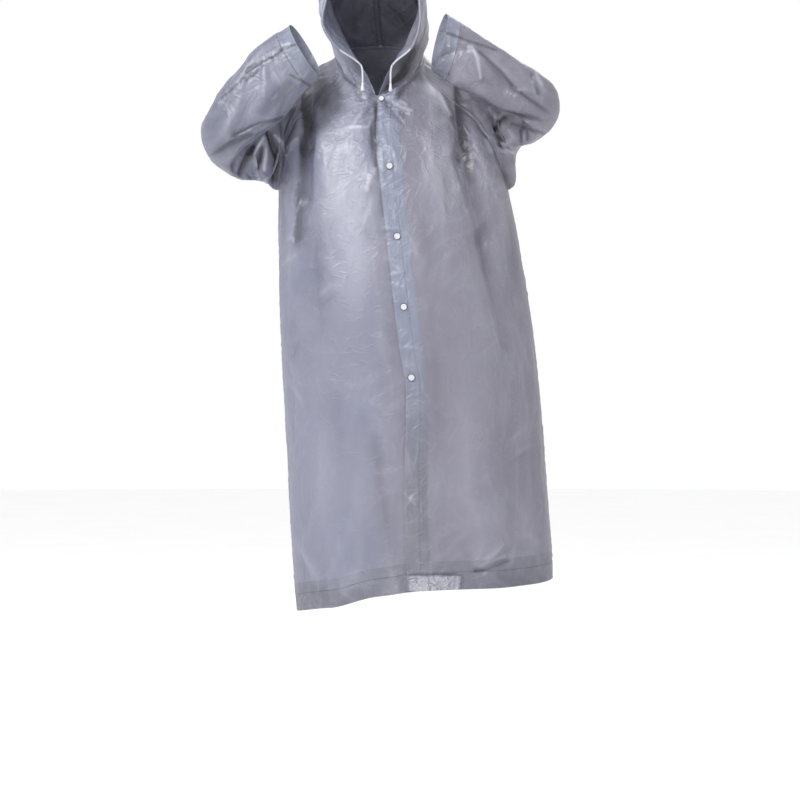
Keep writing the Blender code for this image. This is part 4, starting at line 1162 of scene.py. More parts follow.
def photo_folds(rows, film):
    """How deep the photo's folds sink the film at each point, and how dark or bright they are there."""
    px, py = in_photo(film.points)
    lowest, highest, darkest, brightest = np.zeros((4, len(px)))
    for fold in map(PhotoFold._make, rows):
        away = along_line(px, py, fold.start_px, fold.start_py, fold.end_px, fold.end_py)[1]
        run_px, run_py = fold.end_px - fold.start_px, fold.end_py - fold.start_py
        on_left = run_px * (py - fold.start_py) - run_py * (px - fold.start_px) > 0
        spread = np.where(on_left, fold.left, fold.right)
        sunk = fold.depth / 1000 * np.exp(-((away / np.maximum(spread, SHARPEST)) ** 2))
        # The fold's painted shade, or its painted highlight
        shade = fold.amount * np.exp(-((away / spread) ** 3))
        lowest, highest = np.maximum(lowest, sunk), np.minimum(highest, sunk)
        darkest, brightest = np.minimum(darkest, shade), np.maximum(brightest, shade)
    facing = ease(-0.2, 0.15, -film.normals[:, 1])
    return (lowest + highest) * facing, (darkest + brightest * (1 + darkest)) * facing


def press(film, creases, hold, crumpled, seed):
    """How far the film is pressed out, and how much of a ridge or a groove each point lies on."""
    sharp = crumple(film.points, seed) * crumpled - creases
    sway = noise_at(film.points, (7, 7, 4), seed + 2) * SWAY_HEIGHT
    return (sharp + sway) * hold, np.clip(sharp * hold / RIDGE_HEIGHT, -1, 1)


# ----------------------------------------------------------------------------
# Materials
# ----------------------------------------------------------------------------


def socket_of(sockets, key):
    """A socket by its number, its identifier or its name."""
    if isinstance(key, int):
        return sockets[key]
    return ([s for s in sockets if s.identifier == key] or [s for s in sockets if s.name == key])[0]


class Value:
    """A number or a colour in a material. Arithmetic on it adds Math nodes."""

    def __init__(self, shader, socket):
        self.shader = shader
        self.socket = socket

    def __add__(self, other):
        return self.shader.maths("ADD", self, other)

    def __sub__(self, other):
        return self.shader.maths("SUBTRACT", self, other)

    def __mul__(self, other):
        return self.shader.maths("MULTIPLY", self, other)

    def __rsub__(self, other):
        return self.shader.maths("SUBTRACT", other, self)

    __radd__ = __add__
    __rmul__ = __mul__


class Shader:
    """A material under construction."""

    def __init__(self, name):
        self.material = bpy.data.materials.new(name)
        self.material.use_nodes = True
        self.nodes = self.material.node_tree.nodes
        self.links = self.material.node_tree.links
        self.surface = self.nodes["Principled BSDF"]

    def add(self, kind, settings, inputs, output=0):
        """A node, with its settings made first. Inputs are values, colours or links."""
        node = self.nodes.new(kind)
        for key, setting in settings.items():
            setattr(node, key, setting)
        for key, value in inputs.items():
            self.feed(socket_of(node.inputs, key), value)
        return Value(self, socket_of(node.outputs, output))

    def feed(self, socket, value):
        if isinstance(value, Value):
            self.links.new(value.socket, socket)
        else:
            socket.default_value = value

    def maths(self, operation, first, second=0.0):
        return self.add("ShaderNodeMath", {"operation": operation}, {0: first, 1: second})

    def larger(self, first, second):
        return self.maths("MAXIMUM", first, second)

    def mix(self, factor, first, second):
        """A colour between two, by a factor that is kept from 0 to 1."""
        inputs = {"Factor_Float": factor, "A_Color": first, "B_Color": second}
        return self.add("ShaderNodeMix", {"data_type": "RGBA", "clamp_factor": True}, inputs, "Result_Color")

    def smooth(self, value, low, high):
        """0 below low and 1 above high, with a soft step between."""
        settings = {"interpolation_type": "SMOOTHSTEP"}
        return self.add("ShaderNodeMapRange", settings, {"Value": value, "From Min": low, "From Max": high})

    def attribute(self, name):
        return self.add("ShaderNodeAttribute", {"attribute_name": name}, {}, "Fac")

    def object_place(self):
        return self.add("ShaderNodeTexCoord", {}, {}, "Object")

    def own_map(self):
        return self.add("ShaderNodeTexCoord", {}, {}, "UV")

    def part_of(self, vector, axis):
        return self.add("ShaderNodeSeparateXYZ", {}, {0: vector}, axis)

    def vectors(self, operation, first, second):
        return self.add("ShaderNodeVectorMath", {"operation": operation}, {0: first, 1: second}, "Vector")

    def scaled(self, vector, scale):
        return self.add("ShaderNodeVectorMath", {"operation": "SCALE"}, {0: vector, "Scale": scale}, "Vector")

    def noise(self, place, scale, detail=2.0, output="Fac"):
        inputs = {"Vector": place, "Scale": scale, "Detail": detail, "Roughness": 0.55}
        return self.add("ShaderNodeTexNoise", {}, inputs, output)

    def facets(self, place, scale):
        """Hollows that meet in sharp ridges, as on crumpled film."""
        return self.add("ShaderNodeTexVoronoi", {}, {"Vector": place, "Scale": scale}, "Distance")

    def crinkle_run(self, place, tilt, across, along):
        """Short thin lines that run one way, 1 on the lines."""
        inputs = {"Vector": place, "Rotation": (0, math.radians(tilt), 0)}
        inputs["Scale"] = (1 / across, 1 / across, 1 / along)
        turned = self.add("ShaderNodeMapping", {"vector_type": "TEXTURE"}, inputs)
        swing = self.maths("ABSOLUTE", self.noise(turned, 1.0, 1.0) - 0.5)
        elsewhere = self.vectors("ADD", turned, (tilt, 5.3, 8.1))
        patch = self.smooth(self.noise(elsewhere, 0.8, 1.0), 0.55, 0.68)
        return (1 - self.smooth(swing, 0.0, 0.10)) * patch

    def finish(self, colour, roughness, height, coat, lit_through=0.0):
        """Feeds the surface: colour, roughness, a height in metres, an even coat and how milky it is."""
        normal = self.add("ShaderNodeBump", {}, {"Strength": 1.0, "Distance": 1.0, "Height": height})
        self.feed(self.surface.inputs["Base Color"], colour)
        self.feed(self.surface.inputs["Roughness"], roughness)
        self.feed(self.surface.inputs["Normal"], normal)
        self.surface.inputs["Coat Weight"].default_value = coat
        self.surface.inputs["Coat Roughness"].default_value = 0.22
        self.surface.inputs["Subsurface Weight"].default_value = lit_through
        self.surface.inputs["Subsurface Radius"].default_value = (1.0, 1.0, 1.0)
        self.surface.inputs["Subsurface Scale"].default_value = 0.002
        return self.material


def opaque(colour):
    return (*colour, 1.0)


def film_material(name, welds, doubled_to, fade=0.0008, weld_shade=0.40, along_sleeve=False):
    """Milky film with crinkles. Within doubled_to of its free edge it is doubled, with welds at these
    distances from that edge. The doubled film ends over twice the fade.
    """
    colours = bpy.context.scene.raincoat_colours
    shader = Shader(name)
    band, seam, tone = shader.attribute("band"), shader.attribute("seam"), shader.attribute("tone")
    ridge, crinkle = shader.attribute("ridge"), shader.attribute("crinkle")
    place = grain_place = shader.object_place()
    if along_sleeve:
        inputs = {"Vector": shader.own_map(), "Scale": (SLEEVE_ROUND, SLEEVE_LENGTH, 1)}
        inputs["Rotation"] = (math.pi / 2, 0, 0)
        grain_place = shader.add("ShaderNodeMapping", {}, inputs)
    bend = shader.scaled(shader.noise(grain_place, 9.0, 2.0, "Color"), 0.020)
    bent = shader.vectors("ADD", grain_place, bend)
    tall = shader.vectors("MULTIPLY", bent, (1.0, 1.0, 0.40))

    crinkles = reduce(shader.larger, [shader.crinkle_run(bent, *run) for run in CRINKLE_RUNS]) * crinkle
    cloudy = shader.noise(place, 5.0, 3.0)
    grain = shader.noise(shader.vectors("MULTIPLY", grain_place, (1.0, 1.0, 0.16)), 260.0, 2.0)
    folds = reduce(Value.__add__, [shader.facets(tall, scale) * height for scale, height in LONG_FACETS])
    folds = folds + shader.facets(bent, SHORT_FACETS[0]) * SHORT_FACETS[1]

    doubled = 1 - shader.smooth(band, doubled_to - fade, doubled_to + fade)
    edge = 1 - shader.smooth(band, 0.0004, 0.0016)
    off_weld = shader.maths("ABSOLUTE", seam - SEAM_FLANGE)
    for distance in welds:
        off_weld = shader.maths("MINIMUM", off_weld, shader.maths("ABSOLUTE", band - distance))
    weld = 1 - shader.smooth(off_weld, 0.0003, 0.0014)
    gathered = (1 - shader.smooth(off_weld, 0.003, 0.011)) * shader.smooth(cloudy, 0.42, 0.60)
    gathers = gathered * shader.noise(shader.vectors("MULTIPLY", place, (0.6, 0.6, 1.2)), 170.0, 1.0)
    blue = shader.smooth(shader.part_of(place, "Z"), BLUE_FROM, BLUE_TO)
    warm = shader.smooth(shader.part_of(place, "X"), WARM_FROM, WARM_TO)

    colour = shader.mix(warm, opaque(colours.film), opaque(colours.film_warm))
    colour = shader.mix(shader.smooth(cloudy, 0.35, 0.70) * CLOUDED, colour, opaque(colours.film_light))
    doubled_colour = shader.mix(blue, opaque(colours.doubled_low), opaque(colours.doubled))
    colour = shader.mix(doubled * DOUBLED, colour, doubled_colour)
    # Ridges turn lighter, partly the film's whitening and partly a painted highlight, and grooves take a
    # painted shade
    colour = shader.mix(ridge * RIDGE_WHITENING_AND_HIGHLIGHT, colour, opaque(colours.whitening_and_highlight))
    colour = shader.mix(ridge * -GROOVE_PAINTED_SHADE, colour, opaque(colours.dark))
    # Painted glints on the crinkles
    colour = shader.mix(crinkles * CRINKLE_PAINTED_GLINT, colour, opaque(colours.whitening_and_highlight))
    # The painted light and painted shade of the listed patches and folds
    colour = shader.mix(tone, colour, opaque(colours.whitening_and_highlight))
    colour = shader.mix(tone * -1.0, colour, opaque(colours.dark))
    colour = shader.mix(weld * weld_shade, colour, opaque(colours.dark))
    # A painted highlight along the film's cut edges
    colour = shader.mix(edge * EDGE_PAINTED_HIGHLIGHT, colour, opaque(colours.whitening_and_highlight))

    height = crinkles * CRINKLE_HEIGHT + folds * crinkle + grain * GRAIN_HEIGHT + gathers * GATHER_HEIGHT
    height = height + doubled * DOUBLED_HEIGHT - weld * WELD_DEPTH
    roughness = FILM_ROUGHNESS + cloudy * CLOUD_ROUGHNESS
    return shader.finish(colour, roughness, height, FILM_COAT, FILM_MILKINESS)


def plastic_material(name, colour, shade):
    """Moulded plastic with a faint orange-peel skin."""
    shader = Shader(name)
    place = shader.object_place()
    cloudy, skin = shader.noise(place, 140.0), shader.noise(place, 900.0)
    mixed = shader.mix(shader.smooth(cloudy, 0.3, 0.7), opaque(colour), opaque(shade))
    return shader.finish(mixed, 0.28 + cloudy * 0.12, skin * 0.00005, 0.25)


def braid_material(name, length):
    """White braided cord of this length. Its own map runs along it in X and round it in Y."""
    colours = bpy.context.scene.raincoat_colours
    shader = Shader(name)
    along, turn = (shader.part_of(shader.own_map(), axis) for axis in "XY")
    turns = along * (length / BRAID_PITCH)
    pair = [
        shader.maths("SINE", (turns + turn * side * BRAID_STRANDS) * (2 * math.pi))
        for side in (1, -1)
    ]
    braid = shader.larger(pair[0], pair[1])
    fuzz = shader.noise(shader.object_place(), 1500.0)
    # The gaps between the strands take a painted shade
    colour = shader.mix(shader.smooth(braid, -0.2, 0.8), opaque(colours.cord_shade), opaque(colours.cord))
    return shader.finish(colour, 0.75 + fuzz * 0.15, braid * 0.00022 + fuzz * 0.00008, 0.0)


def floor_material(name):
    shader = Shader(name)
    speckle = shader.noise(shader.object_place(), 3.0)
    colour = shader.mix(speckle, (0.92, 0.92, 0.93, 1.0), (0.96, 0.96, 0.96, 1.0))
    return shader.finish(colour, 0.9 - speckle * 0.05, 0.0, 0.0)


# ----------------------------------------------------------------------------
# Making the pieces
# ----------------------------------------------------------------------------


def grid_film(u, v, points, columns, rows, closed, mirrored):
    """What creasing needs to know of a plain grid of points."""
    grid = points.reshape(rows + 1, columns + 1, 3)
    wide = np.concatenate([grid[:, -2:-1], grid, grid[:, 1:2]], axis=1) if closed else grid
    across = np.gradient(wide, axis=1)
    across = across[:, 1:-1] if closed else across
    normals = unit(np.cross(across, np.gradient(grid, axis=0))).reshape(-1, 3)
    steps_across = np.linalg.norm(np.diff(grid, axis=1), axis=-1)
    steps_up = np.linalg.norm(np.diff(grid, axis=0), axis=-1)
    start = np.pad(steps_across.cumsum(axis=1), ((0, 0), (1, 0)))
    low = np.pad(steps_up.cumsum(axis=0), ((1, 0), (0, 0)))
    end, high = start[:, -1:] - start, low[-1:] - low
    if mirrored:
        start, end = end, start
    return Film(u, v, points, normals, *(a.reshape(-1) for a in (start, end, low, high)))


def make_sheet(name, columns, rows, place, finish, material, closed=False, mirrored=False):
    """A sheet of film: a fine grid moved to its place and creased, with a thin wall that lies inside it.

    place(u, v) gives its plain points. finish(film) gives how far each is pressed out, and the values that
    the material reads.
    """
    bm = bmesh.new()
    bm.loops.layers.uv.new("UVMap")
    bmesh.ops.create_grid(bm, x_segments=columns, y_segments=rows, size=0.5, calc_uvs=True)
    flat = np.array([vert.co for vert in bm.verts])
    u, v = flat[:, 0] + 0.5, flat[:, 1] + 0.5
    if mirrored:
        u = 1 - u
    film = grid_film(u, v, place(u, v), columns, rows, closed, mirrored)
    out, values = finish(film)
    for vert, co in zip(bm.verts, film.points + film.normals * out[:, None]):
        vert.co = co
    for key, numbers in values.items():
        layer = bm.verts.layers.float.new(key)
        for vert, number in zip(bm.verts, numbers.tolist()):
            vert[layer] = number
    if closed:
        bmesh.ops.remove_doubles(bm, verts=bm.verts, dist=0.00001)
    for edge in bm.edges:
        edge.smooth = not edge.is_boundary
    sheet = make_object(name, bm, material)
    wall = sheet.modifiers.new("film", "SOLIDIFY")
    wall.thickness = bpy.context.scene.raincoat_sizes.film_thickness
    wall.offset = -1
    return sheet


def make_object(name, bm, material):
    mesh = bpy.data.meshes.new(name)
    bm.to_mesh(mesh)
    bm.free()
    mesh.shade_smooth()
    mesh.materials.append(material)
    made = bpy.data.objects.new(name, mesh)
    bpy.context.scene.collection.objects.link(made)
    return made


def stand_for(piece, node):
    """The piece takes the place of a solid, and rides on the coat's one body."""
    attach(piece, "root")
    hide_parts(node)


def hang_sheet(sheet, node):
    """A sheet of film takes the place of its solid, and rides on the coat's one body."""
    stand_for(sheet, node)


def stud_seat(stud):
    """Where a press stud sits on the placket, and the way that it faces."""
    angle = angle_at(body_value("edge", stud.height) + stud.from_edge, stud.height)
    normal = surface_normal(body_point, angle, stud.height, *NORMAL_STEPS)
    return body_point(angle, stud.height) + normal * (PLACKET_OUT + STUD_GAP), normal


def away_from_studs(film):
    seats = [stud_seat(Stud(*row))[0] for row in BUTTONS]
    return np.min([np.linalg.norm(film.points - seat, axis=1) for seat in seats], axis=0)


def crumpled_of(film, nearest_seam):
    """How crumpled the body's film is: most over the chest and shoulders, along its seams and at the hem."""
    height = film.points[:, 2]
    upper = 0.50 + 0.50 * ease(-0.55, -0.20, height)
    hem = 0.9 * (1 - ease(-1.08, -0.96, height))
    return np.maximum.reduce([upper, hem, 0.8 * (1 - ease(0.01, 0.06, nearest_seam))])


def body_finish(seams, creases_of, shading_and_tone_rows, fold_rows, seed):
    """How a panel of the body is creased. seams names its welded borders."""

    def finish(film):
        nearest = np.minimum.reduce([getattr(film, seam) for seam in seams])
        crumpled = crumpled_of(film, nearest)
        hold = seam_hold(nearest) * ease(0.007, 0.016, away_from_studs(film))
        out, ridge = press(film, creases_of(film), hold, crumpled, seed)
        sunk, shade = photo_folds(fold_rows, film)
        out += puckers(film.points, nearest, SEAM_PUCKERS) * hold - sunk * hold
        out += puckers(film.points, np.abs(film.low - HEM_WELD), HEM_PUCKERS) * hold
        # A painted highlight on the doubled hem's shiny patch
        shine = painted_shading_and_tone(film, PAINTED_SHINE)
        tone = painted_shading_and_tone(film, shading_and_tone_rows) + shade + shine
        values = {"band": film.low, "seam": nearest, "tone": tone, "ridge": ridge}
        return out, {**values, "crinkle": crumpled + SHINE_CRINKLE * shine}

    return finish


def front_creases(film):
    return photo_creases(FRONT_CREASES + PLACKET_CREASES, film)


def placket_finish(film):
    """The placket is creased as the front under it, and its own free edge is its band."""
    out, values = body_finish(("high",), front_creases, FRONT_SHADING_AND_TONE, FRONT_FOLDS, 1)(film)
    return out, {**values, "band": film.start, "crinkle": values["crinkle"] + PLACKET_CRINKLE}


def sleeve_finish(forearm_rows, upper_rows, forearm_folds, upper_folds, seam_lines, seed):
    def finish(film):
        on_forearm = ease(0.50, 0.58, film.v)
        creases = photo_creases(forearm_rows, film) * on_forearm
        creases += photo_creases(upper_rows, film) * (1 - on_forearm)
        creases += sleeve_creases(film)
        hold = seam_hold(film.low)
        out, ridge = press(film, creases, hold, SLEEVE_CRUMPLE, seed)
        from_weld = np.where(on_forearm > 0.5, line_distance(seam_lines, film), 1.0)
        forearm_sunk, forearm_shade = photo_folds(forearm_folds, film)
        upper_sunk, upper_shade = photo_folds(FRONT_FOLDS + upper_folds, film)
        out += puckers(film.points, film.low, SLEEVE_PUCKERS) * hold
        out -= (forearm_sunk * on_forearm + upper_sunk * (1 - on_forearm)) * hold
        out += puckers(film.points, np.abs(film.high - CUFF_BAND), CUFF_PUCKERS)
        out += puckers(film.points, from_weld, FOREARM_PUCKERS)
        out += WELD_RIDGE * crease_section(from_weld, WELD_RIDGE_WIDTH)
        seam = np.minimum(film.low, from_weld + SEAM_FLANGE)
        # Painted shade and light of the patches and folds, with the painted shade of the raised forearms
        forearm_shading = forearm_shade + painted_shading_and_tone(film, SLEEVE_PAINTED_SHADING) - FOREARM_SHADE
        upper_shading = upper_shade + painted_shading_and_tone(film, FRONT_SHADING_AND_TONE)
        tone = forearm_shading * on_forearm + upper_shading * (1 - on_forearm)
        values = {"band": film.high, "seam": seam, "tone": tone, "ridge": ridge}
        return out, {**values, "crinkle": np.full(len(out), SLEEVE_CRINKLE)}

    return finish


def hood_finish(seed):
    def finish(film):
        on_neck = film.u < HOOD_NECK_SHARE
        channel = np.where(on_neck, 1.0, film.low)
        nearest = np.minimum(film.high, np.where(on_neck, film.low, 1.0))
        hold = seam_hold(nearest)
        out, ridge = press(film, hood_creases(film), hold, HOOD_CRUMPLE, seed)
        out += puckers(film.points, np.abs(channel - HOOD_BAND), CHANNEL_PUCKERS) * hold
        out += puckers(film.points, nearest, SEAM_PUCKERS) * hold
        sunk, shade = photo_folds(HOOD_FOLDS, film)
        out -= sunk * hold
        # Painted light and shade of the patches and folds on the hood
        tone = painted_shading_and_tone(film, FRONT_SHADING_AND_TONE + HOOD_PAINTED_SHADING) + shade
        values = {"band": channel, "seam": nearest, "tone": tone, "ridge": ridge}
        return out, {**values, "crinkle": np.full(len(out), HOOD_CRINKLE)}

    return finish


def spun(profile, steps):
    """A bmesh turned round Z from its profile of radius and height."""
    bm = bmesh.new()
    verts = [bm.verts.new((radius, 0, height)) for radius, height in profile]
    edges = [bm.edges.new(pair) for pair in zip(verts, verts[1:])]
    bmesh.ops.spin(
        bm, geom=verts + edges, cent=(0, 0, 0), axis=(0, 0, 1), angle=2 * math.pi, steps=steps, use_merge=True
    )
    bmesh.ops.remove_doubles(bm, verts=bm.verts, dist=0.000001)
    bmesh.ops.recalc_face_normals(bm, faces=bm.faces)
    return bm


def rounded(corners, radius, steps=4):
    """A profile whose inner corners are rounded off."""
    points = [corners[0]]
    for before, corner, after in zip(corners, corners[1:], corners[2:]):
        corner = Vector(corner)
        to_before, to_after = Vector(before) - corner, Vector(after) - corner
        cut = min(radius, to_before.length / 2.01, to_after.length / 2.01)
        first, last = corner + to_before.normalized() * cut, corner + to_after.normalized() * cut
        for step in range(steps + 1):
            t = step / steps
            points.append(tuple((1 - t) ** 2 * first + 2 * t * (1 - t) * corner + t**2 * last))
    return points + [corners[-1]]


def make_cord(name, points, radius, material):
    """A round cord with closed ends, as a curve through the points."""
    curve = bpy.data.curves.new(name, "CURVE")
    curve.dimensions = "3D"
    curve.bevel_depth = radius
    curve.bevel_resolution = 4
    curve.use_fill_caps = True
    spline = curve.splines.new("POLY")
    spline.points.add(len(points) - 1)
    for point, co in zip(spline.points, points):
        point.co = (*co, 1.0)
    curve.materials.append(material)
    cord = bpy.data.objects.new(name, curve)
    bpy.context.scene.collection.objects.link(cord)
    return cord


def length_of(points):
    return float(np.linalg.norm(np.diff(points, axis=0), axis=1).sum())


def drawstring_route():
    """The cord's line just ahead of the hood's face edge, from one eyelet over the forehead to the other."""
    runs = []
    for edge, side in ((HOOD_EDGE_RIGHT, -1), (HOOD_EDGE_LEFT, 1)):
        along = np.linspace(EYELET_ALONG, 1, CORD_POINTS // 2)
        rim = route_curve(edge, along)
        share = HOOD_NECK_SHARE + (1 - HOOD_NECK_SHARE) * along
        place = hood_surface(edge, side)
        u = (np.clip(share, 0, 1 - HOOD_END) - HOOD_END) / (1 - 2 * HOOD_END)
        ahead = place(u, np.zeros_like(u)) - place(u, np.full_like(u, 0.04))
        along_rim = unit(np.gradient(rim, axis=0))
        ahead = unit(ahead - along_rim * (ahead * along_rim).sum(axis=-1, keepdims=True))
        runs.append(rim + ahead * (CORD_RADIUS + CORD_CLEARANCE))
    right, left = runs
    return np.concatenate([right[:-1], left[::-1][1:]])


def tail_route(eyelet, away):
    """A free end: out of the eyelet as the channel leads it, then forward and straight down."""
    start = eyelet + away * CORD_GAP
    bend = start + away * TAIL_LEAD
    foot = bend + np.array([0, -TAIL_FORWARD, -TAIL_DROP])
    hang = foot + np.array([0, 0, TAIL_DROP * 0.55])
    t = np.linspace(0, 1, TAIL_POINTS)[:, None]
    return (1 - t) ** 3 * start + 3 * t * (1 - t) ** 2 * bend + 3 * t**2 * (1 - t) * hang + t**3 * foot


# ----------------------------------------------------------------------------
# The add-on
# ----------------------------------------------------------------------------


def colour_property(name, description, default):
    return bpy.props.FloatVectorProperty(
        name=name, description=description, default=default, subtype="COLOR", size=3, min=0.0, max=1.0
    )


class RaincoatSizes(bpy.types.PropertyGroup):
    film_thickness: bpy.props.FloatProperty(
        name="Film thickness",
        description="How thick the coat's film is drawn",
        default=0.0006,
        min=0.0001,
        max=0.0015,
        subtype="DISTANCE",
        unit="LENGTH",
    )
    stud_dimple: bpy.props.FloatProperty(
        name="Stud dimple",
        description="How deep the middle of a press stud's cap is sunk",
        default=0.0007,
        min=0.0,
        max=0.0015,
        subtype="DISTANCE",
        unit="LENGTH",
    )


class RaincoatColours(bpy.types.PropertyGroup):
    film: colour_property("Film", "One layer of film", (0.114, 0.121, 0.170))
    film_warm: colour_property("Warm film", "Film on the coat's other side", (0.127, 0.122, 0.157))
    film_light: colour_property("Light film", "Film where it clouds over", (0.170, 0.168, 0.206))
    doubled: colour_property("Doubled film", "The cuffs and the upper placket", (0.138, 0.155, 0.212))
    doubled_low: colour_property("Lower doubled film", "The hem and the lower placket", (0.098, 0.100, 0.128))
    # The colour of the ridges' whitening and of the painted highlights, glints and painted light
    whitening_and_highlight: colour_property("Bright film", "Ridges, crinkles and cut edges", (0.42, 0.42, 0.48))
    # The colour of painted shade in folds and grooves, of the welds' own dark lines and of the dark ring that
    # stands for each stud's shadow
    dark: colour_property("Dark film", "The bottom of folds and welds", (0.014, 0.013, 0.020))
    plastic: colour_property("Plastic", "Press studs and cord ends", (0.44, 0.44, 0.46))
    plastic_shade: colour_property("Plastic shade", "Duller places in the plastic", (0.36, 0.36, 0.39))
    cord: colour_property("Cord", "The drawstring", (0.52, 0.52, 0.54))
    # A painted shade in the gaps between the braid's strands
    cord_shade: colour_property("Cord shade", "Between the strands of the braid", (0.30, 0.30, 0.34))


class RAINCOAT_OT_stage(bpy.types.Operator):
    """Sets up the camera, the pale floor and the soft light"""

    bl_idname = "raincoat.stage"
    bl_label = "Stage"

    def execute(self, context):
        lens = bpy.data.cameras.new("camera")
        lens.sensor_width = 36.0
        lens.lens = 36.0 * CAMERA_DISTANCE / FRAME_WIDTH
        camera = bpy.data.objects.new("camera", lens)
        camera.location = CAMERA_PLACE
        camera.rotation_euler = (math.pi / 2, 0, 0)
        context.scene.collection.objects.link(camera)
        context.scene.camera = camera

        bm = bmesh.new()
        bmesh.ops.create_circle(bm, cap_ends=True, segments=96, radius=FLOOR_RADIUS)
        bmesh.ops.translate(bm, verts=bm.verts, vec=(0, 0, FLOOR_HEIGHT))
        make_object("floor", bm, floor_material("floor"))

        for row in LIGHTS:
            self.add_lamp(context, Lamp(*row))
        world = bpy.data.worlds.new("studio")
        world.use_nodes = True
        world.node_tree.nodes["Background"].inputs["Strength"].default_value = WORLD_STRENGTH
        world.node_tree.nodes["Background"].inputs["Color"].default_value = (1.0, 1.0, 1.0, 1.0)
        context.scene.world = world
        context.scene.view_settings.view_transform = "Standard"
        return {"FINISHED"}

    def add_lamp(self, context, lamp):
        light = bpy.data.lights.new(lamp.name, "AREA")
        light.shape = "DISK"
        light.size = lamp.size
        light.energy = lamp.watts
        made = bpy.data.objects.new(lamp.name, light)
        made.location = (lamp.x, lamp.y, lamp.z)
        aim = Vector(LIGHTS_AIM) - made.location
        made.rotation_euler = aim.to_track_quat("-Z", "Y").to_euler()
        context.scene.collection.objects.link(made)


class RAINCOAT_OT_drawstring(bpy.types.Operator):
    """Makes the drawstring round the hood's opening, its two free ends and their bell-shaped fittings"""

    bl_idname = "raincoat.drawstring"
    bl_label = "Drawstring"

    def execute(self, context):
        colours = context.scene.raincoat_colours
        plastic = plastic_material("cord_end_plastic", colours.plastic, colours.plastic_shade)
        route = drawstring_route()
        braid = braid_material("braided_cord", length_of(route))
        stand_for(make_cord("cord_in_channel", route, CORD_RADIUS, braid), "drawstring")
        # A curve has no attributes and they read 0, so all of the roll looks like the film's cut edge, with
        # its painted highlight
        channel_film = film_material("channel_film", (), 0.0)
        channel = make_cord("hood_channel", route[CHANNEL_FROM:-CHANNEL_FROM], CHANNEL_RADIUS, channel_film)
        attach(channel, "root")
        for name, eyelet, inner in (("right", route[0], route[1]), ("left", route[-1], route[-2])):
            points = tail_route(eyelet, unit(eyelet - inner))
            braid = braid_material(f"braided_tail_{name}", length_of(points))
            tail = make_cord(f"cord_tail_{name}", points, CORD_RADIUS, braid)
            stand_for(tail, f"drawstring_tail_{name}")
            bm = spun(rounded(CORD_END_PROFILE, 0.0006), 40)
            bmesh.ops.translate(bm, verts=bm.verts, vec=Vector(points[-1]) - Vector((0, 0, CORD_GAP)))
            bell = make_object(f"bell_end_{name}", bm, plastic)
            stand_for(bell, f"cord_end_{name}")
        return {"FINISHED"}


class RAINCOAT_OT_body(bpy.types.Operator):
    """Makes the back, the two fronts and the placket"""

    bl_idname = "raincoat.body"
    bl_label = "Body and placket"

    def execute(self, context):
        film = film_material("body_film", (HEM_WELD,), HEM_BAND)
        width = PLACKET_WIDTH - PLACKET_FADE
        folded = film_material("placket_film", (PLACKET_WELD,), width, PLACKET_FADE, 0.16)
        back_finish = body_finish(("start", "end", "high"), back_creases, [], [], 4)
        back = make_sheet("back_sheet", 150, 330, back_point, back_finish, film)
        left_finish = body_finish(("end", "high"), front_creases, FRONT_SHADING_AND_TONE, FRONT_FOLDS, 1)
        left = make_sheet("front_sheet_left", 104, 400, front_left_point, left_finish, film)
        right_finish = body_finish(("start", "high"), front_creases, FRONT_SHADING_AND_TONE, FRONT_FOLDS, 1)
        right = make_sheet("front_sheet_right", 104, 400, front_right_point, right_finish, film)
        placket = make_sheet("placket_sheet", 18, 400, placket_point, placket_finish, folded)
        for piece, node, slot, cut in (
            (back, "back", "film", BACK_CUT),
            (left, "front_left", "film", FRONT_LEFT_CUT),
            (right, "front_right", "film", FRONT_RIGHT_CUT),
            (placket, "front_placket", "folded_film", PLACKET_CUT),
        ):
            hang_sheet(piece, node)
        return {"FINISHED"}


class RAINCOAT_OT_sleeves(bpy.types.Operator):
    """Makes the two raglan sleeves"""

    bl_idname = "raincoat.sleeves"
    bl_label = "Sleeves"

    def execute(self, context):
        film = film_material("sleeve_film", (CUFF_BAND,), CUFF_BAND, along_sleeve=True)
        right_place = sleeve_surface(SLEEVE_RIGHT, SLEEVE_FOLDS_RIGHT, -1)
        left_place = sleeve_surface(SLEEVE_LEFT, SLEEVE_FOLDS_LEFT, 1)
        right_creases = (FOREARM_RIGHT_CREASES, UPPER_ARM_RIGHT_CREASES)
        right_folds = (FOREARM_RIGHT_FOLDS, UPPER_ARM_RIGHT_FOLDS)
        left_creases = (FOREARM_LEFT_CREASES, UPPER_ARM_LEFT_CREASES)
        left_folds = (FOREARM_LEFT_FOLDS, UPPER_ARM_LEFT_FOLDS)
        for name, place, creases, folds, seam_lines, seed, mirrored in (
            ("right", right_place, right_creases, right_folds, SLEEVE_SEAM_RIGHT, 11, False),
            ("left", left_place, left_creases, left_folds, SLEEVE_SEAM_LEFT, 17, True),
        ):
            finish = sleeve_finish(*creases, *folds, seam_lines, seed)
            sleeve = make_sheet(f"sleeve_sheet_{name}", 160, 200, place, finish, film, True, mirrored)
            hang_sheet(sleeve, f"sleeve_{name}")
        return {"FINISHED"}


class RAINCOAT_OT_hood(bpy.types.Operator):
    """Makes the two halves of the hood, with the drawstring's channel"""

    bl_idname = "raincoat.hood"
    bl_label = "Hood"

    def execute(self, context):
        film = film_material("hood_film", (HOOD_BAND,), HOOD_BAND)
        for name, edge, side, seed in (("right", HOOD_EDGE_RIGHT, -1, 23), ("left", HOOD_EDGE_LEFT, 1, 29)):
            place = hood_surface(edge, side)
            finish = hood_finish(seed)
            half = make_sheet(f"hood_sheet_{name}", 170, 90, place, finish, film, False, side > 0)
            hang_sheet(half, f"hood_{name}")
        return {"FINISHED"}


